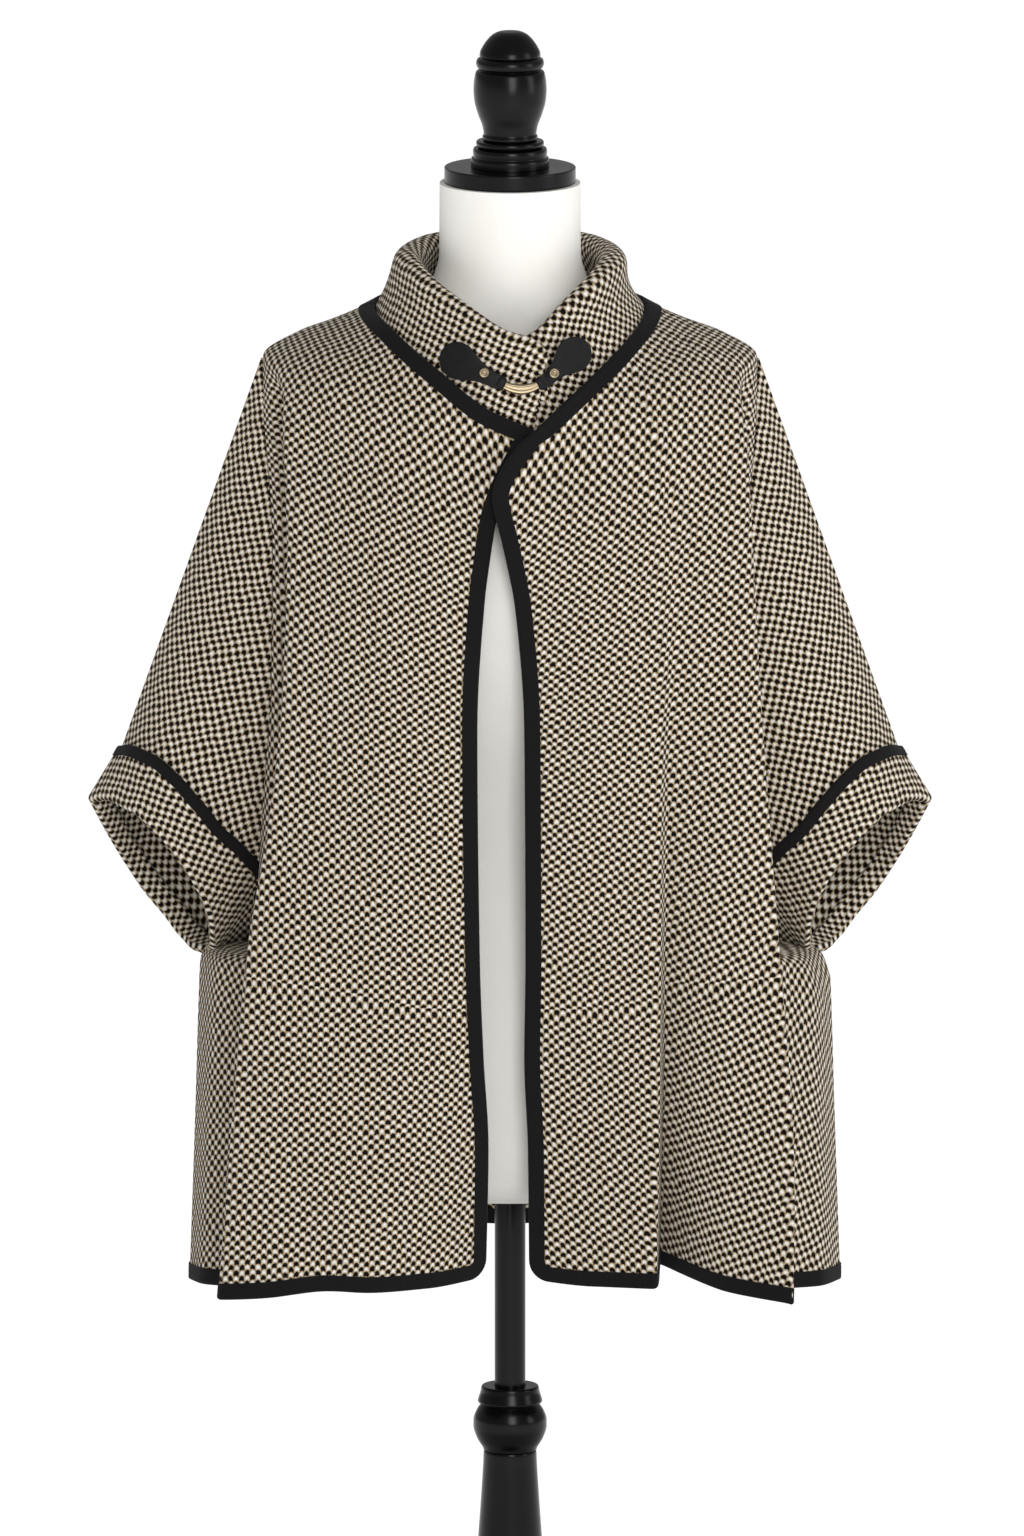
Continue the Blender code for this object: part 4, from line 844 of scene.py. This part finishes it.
def collar_points(loop, shares):
    """Sections of the collar: a foot behind the neckline, a leaning wall, a half circle, a drop."""
    length = lengths(loop, 0)
    foot = smooth_through(length / length[-1], loop, shares)
    past_share = np.clip((shares - INNER_END_FROM) / INNER_END_OVER, 0, 1)
    tuck = COLLAR_TUCK + INNER_END_TUCK * past_share
    foot[:, :2] *= (1 - tuck / np.linalg.norm(foot[:, :2], axis=1))[:, None]
    sink = FOOT_DROP * np.clip(1 - (foot[:, 0] / FOOT_DROP_ENDS)**2, FOOT_DROP_LEAST, 1)
    table = read(COLLAR, shares) * MM
    crest = table[:, :3] * [1, -1, 1]
    radius, drop = table[:, 3:4], table[:, 4:5]
    inward = unit(-crest * [1, 1, 0])
    up = np.array([0, 0, 1.0])
    shoulder = crest - inward * radius - up * radius
    wall = [foot + (shoulder - foot) * t + inward * (WALL_BOW * math.sin(math.pi * t))
            for t in np.linspace(0, 1, 19)]
    roll = [crest - inward * radius * math.cos(t) + up * radius * (math.sin(t) - 1)
            for t in np.linspace(0, math.pi, 19)[1:]]
    inside = [roll[-1] - up * drop * t - inward * (INSIDE_SLANT * t)
              for t in np.linspace(0, 1, 13)[1:]]
    sunk = [foot - up * sink[:, None] * t for t in np.linspace(1, 0, 5)[:-1]]
    return evened(np.array(sunk + wall + roll + inside), COLLAR_EVENED)


neck_loop = np.concatenate([body["right"][0][0], back_points[0, 1:-1], body["left"][0][0, ::-1]])
collar = collar_points(neck_loop, np.linspace(0, 1, 241))
collar_plan = flat_plan(collar[:, ::-1], 22, 0.5, 0.5)[:, ::-1]
cloth_piece("collar", collar, collar_plan)

# ---- Bindings ------------------------------------------------------------------------------
# Black wool tape, folded over each cut edge and stitched through close to its own edges. One
# runs round each front, others bind the back neckline, the back hem and the cuffs.
TAPE_HALF = 0.45 * MM           # half of the tape's own thickness
TAPE_OFF = CLOTH / 2 + 0.35 * MM + TAPE_HALF    # from the cloth's middle to the tape's
TAPE_REACH, CUFF_TAPE_REACH = 10.5 * MM, 7.0 * MM
TAPE_STEP = 2.5 * MM            # between the sections of its mesh
TAPE_SPREAD = 2 * MM            # how far round a point the cloth is averaged under it
TAPE_AROUND = 30 * MM           # how far from the edge cloth is looked at
TAPE_EVENED = 10                # times its way along is evened out, over some 8 mm
# Where across a leg the stitching sinks it, as a share of it, how widely and how deep.
SUNK_AT, SUNK_WIDE, SUNK_DEEP = 0.84, 0.05, 0.28 * MM
SEAM_SHORT = 0.2                # of a column, by which a tape stops short of a seam


def tape_section(both, far):
    """Section of a folded tape: how far inside the edge, and how far off the cloth's middle.

    It goes out along one leg, round the cut edge and along the other leg, then back on its
    inner face. A leg ends in a small round lip and sinks a little along its stitching.
    """
    leg = np.linspace(1, 0, 9)
    sink = SUNK_DEEP * np.exp(-((leg - SUNK_AT) / SUNK_WIDE)**2)
    bend = np.linspace(0, math.pi if both else math.pi / 2, 9)[1:-1]
    lip = np.linspace(0, math.pi, 5)
    outer, inner = TAPE_OFF + TAPE_HALF, TAPE_OFF - TAPE_HALF

    def side(off, sunk):
        front = np.column_stack([leg * far, off - sunk])
        turn = np.column_stack([-off * np.sin(bend), off * np.cos(bend)])
        end = front[::-1] * [1, -1] if both else np.array([[-off, 0.0]])
        return np.concatenate([front, turn, end])

    def round_lip(way):
        return np.column_stack([far + TAPE_HALF * np.sin(lip),
                                way * (TAPE_OFF - TAPE_HALF * np.cos(lip))])[1:-1]

    out, back = side(outer, sink), side(inner, 0 * sink)
    far_lip = round_lip(-1)[::-1] if both else np.empty((0, 2))
    return np.concatenate([out, far_lip, back[::-1], round_lip(1)])


def pressed_on(places, spots, facets):
    """Places put on to the plane of the sheet near them, and its unit normals.

    The plane is the mean of the sheet's points, each weighted by its area times
    exp(-(distance / spread)^2).
    """
    squares = (places**2).sum(1)[:, None] + (spots**2).sum(1) - 2 * places @ spots.T
    weight = np.exp((squares.min(1, keepdims=True) - squares) / TAPE_SPREAD**2)
    normal = unit(weight @ facets)
    weight = weight * np.linalg.norm(facets, axis=1)
    middle = weight @ spots / weight.sum(1)[:, None]
    return places + normal * ((middle - places) * normal).sum(1)[:, None], normal


def tape_piece(place, points, row, column, wall_side, both=True, ring=False):
    """Carry the tape's section along an edge of a sheet, read at rows and columns of its grid.

    Inside the edge each point of the section is pressed on to the sheet; past the edge it lies
    in the plane of the wall.
    """
    length = lengths(at(points, row, column), 0)
    even = np.linspace(0, length[-1], round(length[-1] / TAPE_STEP) + 1)
    row, column = np.interp(even, length, row), np.interp(even, length, column)
    edge = at(points, row, column)
    pad = 24
    ends = (edge[-pad - 1:-1], edge[1:pad + 1]) if ring else (
        edge[0] + (edge[0] - edge[1]) * np.arange(pad, 0, -1)[:, None],
        edge[-1] + (edge[-1] - edge[-2]) * np.arange(1, pad + 1)[:, None])
    along = np.gradient(np.concatenate([ends[0], edge, ends[1]]), axis=0)
    along = unit(evened(along, TAPE_EVENED)[pad:-pad])
    spots, facets = points.reshape(-1, 3), facets_of(points, ring).reshape(-1, 3) * wall_side
    near = ((spots[:, None] - edge[None, ::4])**2).sum(-1).min(axis=1) < TAPE_AROUND**2
    spots, facets = spots[near], facets[near]
    inward = unit(np.cross(pressed_on(edge, spots, facets)[1], along))
    if ((points[points.shape[0] // 2, points.shape[1] // 2] - edge) * inward).sum(-1).mean() < 0:
        inward = -inward
    far = TAPE_REACH if both else CUFF_TAPE_REACH
    reach, off = tape_section(both, far).T
    depths, which = np.unique(np.maximum(reach, 0), return_inverse=True)
    laid = [pressed_on(edge + inward * depth, spots, facets) for depth in depths]
    base, normal = (np.stack([pair[part] for pair in laid])[which] for part in (0, 1))
    grid = base + normal * off[:, None, None] + inward * np.minimum(reach, 0)[:, None, None]
    if ring:
        grid[:, -1] = grid[:, 0]
    grid = np.concatenate([grid, grid[:1]]).transpose(1, 0, 2)
    uv = arc_uv(grid)
    if ring:
        grid, uv = grid[:-1], uv[:-1]
    piece = surface("tape_" + place, grid, uv, ring=True, loop=ring, ends=not ring)
    stand_for(piece, felt_tape, "binding_" + place)


# Woven wool tape, dyed black: matte, a little hairy, with a close fine weave across it.
felt_tape = new_material("woven_black_wool_tape", Roughness=0.92, Sheen_Weight=0.05,
                         Sheen_Roughness=0.45, Specular_IOR_Level=0.15)
tape_place = add_node(felt_tape, "UVMap", {}, uv_map="flat")
THREAD = 0.9 * MM               # drawn about twice as coarse as real, so that it shows
tape_turn = add_node(felt_tape, "VectorMath", {0: tape_place, 1: (math.pi / THREAD,) * 3},
                     operation="MULTIPLY")
tape_xy = add_node(felt_tape, "SeparateXYZ", {0: tape_turn}).node.outputs
thread_x = add_node(felt_tape, "Math", {0: tape_xy[0]}, operation="COSINE")
thread_y = add_node(felt_tape, "Math", {0: tape_xy[1]}, operation="COSINE")
threads = add_node(felt_tape, "Math", {0: thread_x, 1: thread_y}, operation="MULTIPLY")
tape_lint = add_node(felt_tape, "TexNoise", {"Vector": tape_place, "Scale": 1500.0, "Detail": 3.0})
tape_height = add_node(felt_tape, "Math", {0: threads, 1: 0.5, 2: tape_lint},
                       operation="MULTIPLY_ADD")
finish(felt_tape, tape_lint, ("0A090A", "1C1A1A"), tape_height, 0.6, 0.3 * MM)

for side in OUTWARDS:
    front_points, front_row, front_column = body[side]
    run = [(0, slice(None, 0, -1)), (slice(None, None), 0), (-1, slice(1, None))]
    last = front_points.shape[1] - 1 - SEAM_SHORT
    tape_piece("front_" + side, front_points, np.concatenate([front_row[part] for part in run]),
               np.minimum(np.concatenate([front_column[part] for part in run]), last),
               -OUTWARDS[side])
back_rows, back_columns = back_points.shape[:2]
whole_back = np.clip(np.arange(back_columns), SEAM_SHORT, back_columns - 1 - SEAM_SHORT)
tape_piece("back_neck", back_points, 0 * whole_back, whole_back, 1)
tape_piece("back_hem", back_points, 0 * whole_back + back_rows - 1, whole_back, 1)
for side in OUTWARDS:
    around_cuff = np.arange(cuffs[side].shape[1], dtype=float)
    tape_piece("cuff_" + side, cuffs[side], 0 * around_cuff, around_cuff, OUTWARDS[side],
               both=False, ring=True)

# ---- Closure -------------------------------------------------------------------------------
# Two drop-shaped tabs of black leather, each held by a brass stud and ending in a loop round
# one end of a short curved bar of brass with three ridges.
# Middle of the head and tip, out and height; half the head's and the strap's width.
TABS = {"right": ((-42.5, 1443.5), (-8, 1427), 15, 6), "left": ((51.5, 1447), (27.5, 1427), 15, 6)}
STUDS = {"right": (-21, 1435.5), "left": (36, 1435)}
# Right end, middle and left end of the bar, out and height.
CLASP = ((-10, 1428.5), (9.4, 1421.5), (28.5, 1428.5))
TAB_HALF, TAB_EDGE = 1.0 * MM, 0.8 * MM     # half its thickness; where it thins by its cut edge
TAB_CLEAR, BAR_CLEAR, STUD_SUNK = 0.4 * MM, 2.4 * MM, 0.2 * MM
NEAR_COLLAR, NEAR_SPARE = 2.5 * MM, 1.5 * MM    # how near a spot the collar's points count
COLLAR_FACE = 30                # rows of the collar's grid, from its foot, that face outwards

collar_face = collar[:COLLAR_FACE].reshape(-1, 3)
collar_face = collar_face[collar_face[:, 1] < -0.04]


def lie_on_collar(out, height, clear):
    """Forward of a stiff piece over the collar: a plane bowed by the square of out, moved clear."""
    spot = np.column_stack([out.ravel(), height.ravel()])
    away = np.hypot(spot[:, :1] - collar_face[:, 0], spot[:, 1:] - collar_face[:, 2])
    reach = np.maximum(away.min(axis=1, keepdims=True) + NEAR_SPARE, NEAR_COLLAR)
    front = np.where(away < reach, collar_face[:, 1], 0).min(axis=1)
    terms = np.column_stack([spot, spot[:, 0]**2, np.ones(len(spot))])
    fitted = terms @ np.linalg.lstsq(terms, front, rcond=None)[0]
    return (fitted - max(0, (fitted - front).max()) - CLOTH / 2 - clear).reshape(out.shape)


def tab_points(side):
    """A drop: a round head that narrows to a strap, with a rounded edge all round."""
    head, tip, half_head, half_strap = TABS[side]
    head, tip = np.array(head) * MM, np.array(tip) * MM
    way = unit(tip - head)
    beside = np.array([-way[1], way[0]])
    length, half_head, half_strap = np.linalg.norm(tip - head), half_head * MM, half_strap * MM
    share = (1 - np.cos(np.linspace(0.06, math.pi, 49)))[:, None] / 2
    along = -half_head + share * (length + half_head)
    half = np.where(along < 0, half_head * np.sqrt(np.clip(1 - (along / half_head)**2, 0, 1)),
                    half_strap + (half_head - half_strap) * np.exp(-(along / (0.42 * length))**2))
    angle = np.linspace(0, 2 * math.pi, 41)[None]
    wide, thick = squared(np.cos(angle), 0.55), squared(np.sin(angle), 0.55)
    out = head[0] + way[0] * along + beside[0] * half * wide
    height = head[1] + way[1] * along + beside[1] * half * wide
    edge = np.clip(half / TAB_EDGE, 0, 1)
    forward = lie_on_collar(out, height, TAB_CLEAR + TAB_HALF) - TAB_HALF * thick * edge
    grid = np.stack([out, forward, height], axis=-1)
    grid[:, -1] = grid[:, 0]
    return grid


RIDGE_DEEP = 0.22               # of the bar's ridges, as a share of its depth
FORWARDS = np.array([0, -1.0, 0])


def tube_points(path, half_out, half_deep, ridges=0, steps=48):
    """A section carried along a path: half_out sideways, half_deep forwards.

    With ridges, the front of the section bulges by a cosine that many times.
    """
    sideways = np.cross(unit(np.gradient(path, axis=0)), FORWARDS)
    angle = np.linspace(0, 2 * math.pi, steps + 1)
    wide = squared(np.cos(angle), 0.8)
    bulge = RIDGE_DEEP * np.cos(ridges * math.pi * wide) if ridges else 0
    deep = np.sin(angle) * (1 + bulge)
    grid = (path[:, None] + sideways[:, None] * (np.reshape(half_out, (-1, 1)) * wide)[..., None]
            + FORWARDS * (np.reshape(half_deep, (-1, 1)) * deep)[..., None])
    grid[:, -1] = grid[:, 0]
    return grid


# Vegetable-tanned cowhide, dyed black: matte, with pebbles of 1.2 mm and dull edges.
leather = new_material("black_cowhide", Roughness=0.5, IOR=1.48, Specular_IOR_Level=0.2)
leather_place = add_node(leather, "TexCoord", {}).node.outputs["Object"]
pebbles = add_node(leather, "TexVoronoi", {"Vector": leather_place, "Scale": 850.0})
hide = add_node(leather, "TexNoise", {"Vector": leather_place, "Scale": 120.0, "Detail": 4.0})
leather_height = add_node(leather, "Math", {0: hide, 1: 0.6, 2: pebbles},
                          operation="MULTIPLY_ADD")
finish(leather, hide, ("0B0B0C", "191819"), leather_height, 0.35, 0.25 * MM)

# Drawn brass, polished and then worn: warm and pale, with soft scratches along the wire.
brass = new_material("worn_brass", Metallic=1.0)
brass_place = add_node(brass, "TexCoord", {}).node.outputs["Object"]
scratch_place = add_node(brass, "VectorMath", {0: brass_place, 1: (90.0, 900.0, 900.0)},
                         operation="MULTIPLY")
scratches = add_node(brass, "TexNoise", {"Vector": scratch_place, "Scale": 1.0, "Detail": 3.0})
brass_rough = add_node(brass, "MapRange", {0: scratches, 3: 0.22, 4: 0.42})
finish(brass, scratches, ("7E6F57", "A99A80"), scratches, 0.2, 0.1 * MM, Roughness=brass_rough)

# Radius and height of a stud from its middle: a dot in a dished face with a raised rim.
STUD_PROFILE = ((0, 1.9), (0.7, 1.8), (1.1, 1.3), (1.9, 1.2), (2.6, 1.9), (3.4, 2.0), (4.0, 1.3),
                (4.1, 0.2), (0, 0))
STUD_AROUND = 7 * MM            # how far round a stud the tab's face is looked at
for side in OUTWARDS:
    tab_grid = tab_points(side)
    closed_piece("leather_tab_" + side, tab_grid, leather, "leather", "tab_" + side, ends=True)
    stud_out, stud_height = (np.array([value]) * MM for value in STUDS[side])
    near = np.hypot(tab_grid[..., 0] - stud_out, tab_grid[..., 2] - stud_height)
    stud_back = tab_grid[..., 1][near < STUD_AROUND].min() - STUD_SUNK
    spun = turned_points(STUD_PROFILE, 40)
    stud_points = np.stack([stud_out + spun[..., 0], stud_back - spun[..., 2],
                            stud_height + spun[..., 1]], -1)
    closed_piece("brass_stud_" + side, stud_points, brass, "brass", "stud_" + side, sharp=50)

(bar_x0, bar_z0), (_, bar_z1), (bar_x2, _) = CLASP
bar_share = np.linspace(0, 1, 61)
bar_out = (bar_x0 + (bar_x2 - bar_x0) * bar_share) * MM
bar_height = (bar_z0 - 4 * (bar_z0 - bar_z1) * bar_share * (1 - bar_share)) * MM
bar_path = np.column_stack([bar_out, lie_on_collar(bar_out, bar_height, BAR_CLEAR), bar_height])
bar_swell = np.sin(math.pi * bar_share)
bar = tube_points(bar_path, (1.9 + 2.4 * bar_swell**0.8) * MM, (0.9 + 0.6 * bar_swell**0.5) * MM,
                  ridges=3)
closed_piece("brass_bar", bar, brass, "brass", "clasp", ends=True)
LOOP_WIDE, LOOP_DEEP, LOOP_TIP = 6.0 * MM, 2.9 * MM, 0.45
for side, loop_at in (("right", slice(0, 10)), ("left", slice(-10, None))):
    loop_path = bar_path[loop_at]
    taper = np.sin(np.linspace(LOOP_TIP, math.pi - LOOP_TIP, len(loop_path)))**0.35
    loop = tube_points(loop_path, LOOP_WIDE * taper, LOOP_DEEP * taper)
    closed_piece("leather_loop_" + side, loop, leather, "leather", ends=True)

# ---- Floor and light -----------------------------------------------------------------------
# A plain white floor that fills the view. It glows from 0.2 m to 2 m away from the stand's
# foot, so that it reads as white and still takes a shadow. Soft studio light: a large panel in
# front, a weaker one on the wearer's left, and white surroundings.
FLOOR_HALF = 60.0
GLOW_FROM, GLOW_FULL, GLOW = 0.2, 2.0, 0.75
floor_mesh = bpy.data.meshes.new("floor")
floor_mesh.from_pydata([(x * FLOOR_HALF, y * FLOOR_HALF, 0)
                        for x, y in ((-1, -1), (1, -1), (1, 1), (-1, 1))], [], [(0, 1, 2, 3)])
floor = in_scene("floor", floor_mesh)
white_floor = new_material("white_studio_floor", Roughness=0.8, Base_Color=(0.72, 0.72, 0.72, 1.0),
                           Specular_IOR_Level=0.1, Emission_Color=(1, 1, 1, 1))
floor_place = add_node(white_floor, "TexCoord", {}).node.outputs["Object"]
from_stand = add_node(white_floor, "VectorMath", {0: floor_place}, operation="LENGTH")
floor_reach = from_stand.node.outputs["Value"]
floor_glow = add_node(white_floor, "MapRange",
                      {0: floor_reach, 1: GLOW_FROM, 2: GLOW_FULL, 3: 0.0, 4: GLOW},
                      interpolation_type="SMOOTHSTEP")
link_into(white_floor, Emission_Strength=floor_glow)
floor_mesh.materials.append(white_floor)

world = bpy.data.worlds.new("white_studio")
world.use_nodes = True
background = world.node_tree.nodes["Background"].inputs
background["Color"].default_value = (1, 1, 1, 1)
background["Strength"].default_value = 0.38
bpy.context.scene.world = world
bpy.context.scene.view_settings.view_transform = "Standard"

# Where each panel stands, its width and height, and its power in watts. It faces the cloth.
CLOTH_MIDDLE = (0, 0, 1.1)
for light_name, light_place, light_wide, light_high, light_power in (
        ("front_panel", (0.7, -5.0, 2.9), 1.7, 3.2, 118),
        ("side_panel", (3.6, -1.2, 2.4), 1.2, 2.6, 28)):
    panel = bpy.data.lights.new(light_name, "AREA")
    panel.shape = "RECTANGLE"
    panel.size, panel.size_y = light_wide, light_high
    panel.energy = light_power
    lamp = in_scene(light_name, panel)
    facing = np.array(CLOTH_MIDDLE) - light_place
    lamp.location = light_place
    lamp.rotation_euler = (math.atan2(math.hypot(facing[0], facing[1]), -facing[2]), 0,
                           math.atan2(facing[1], facing[0]) - math.pi / 2)
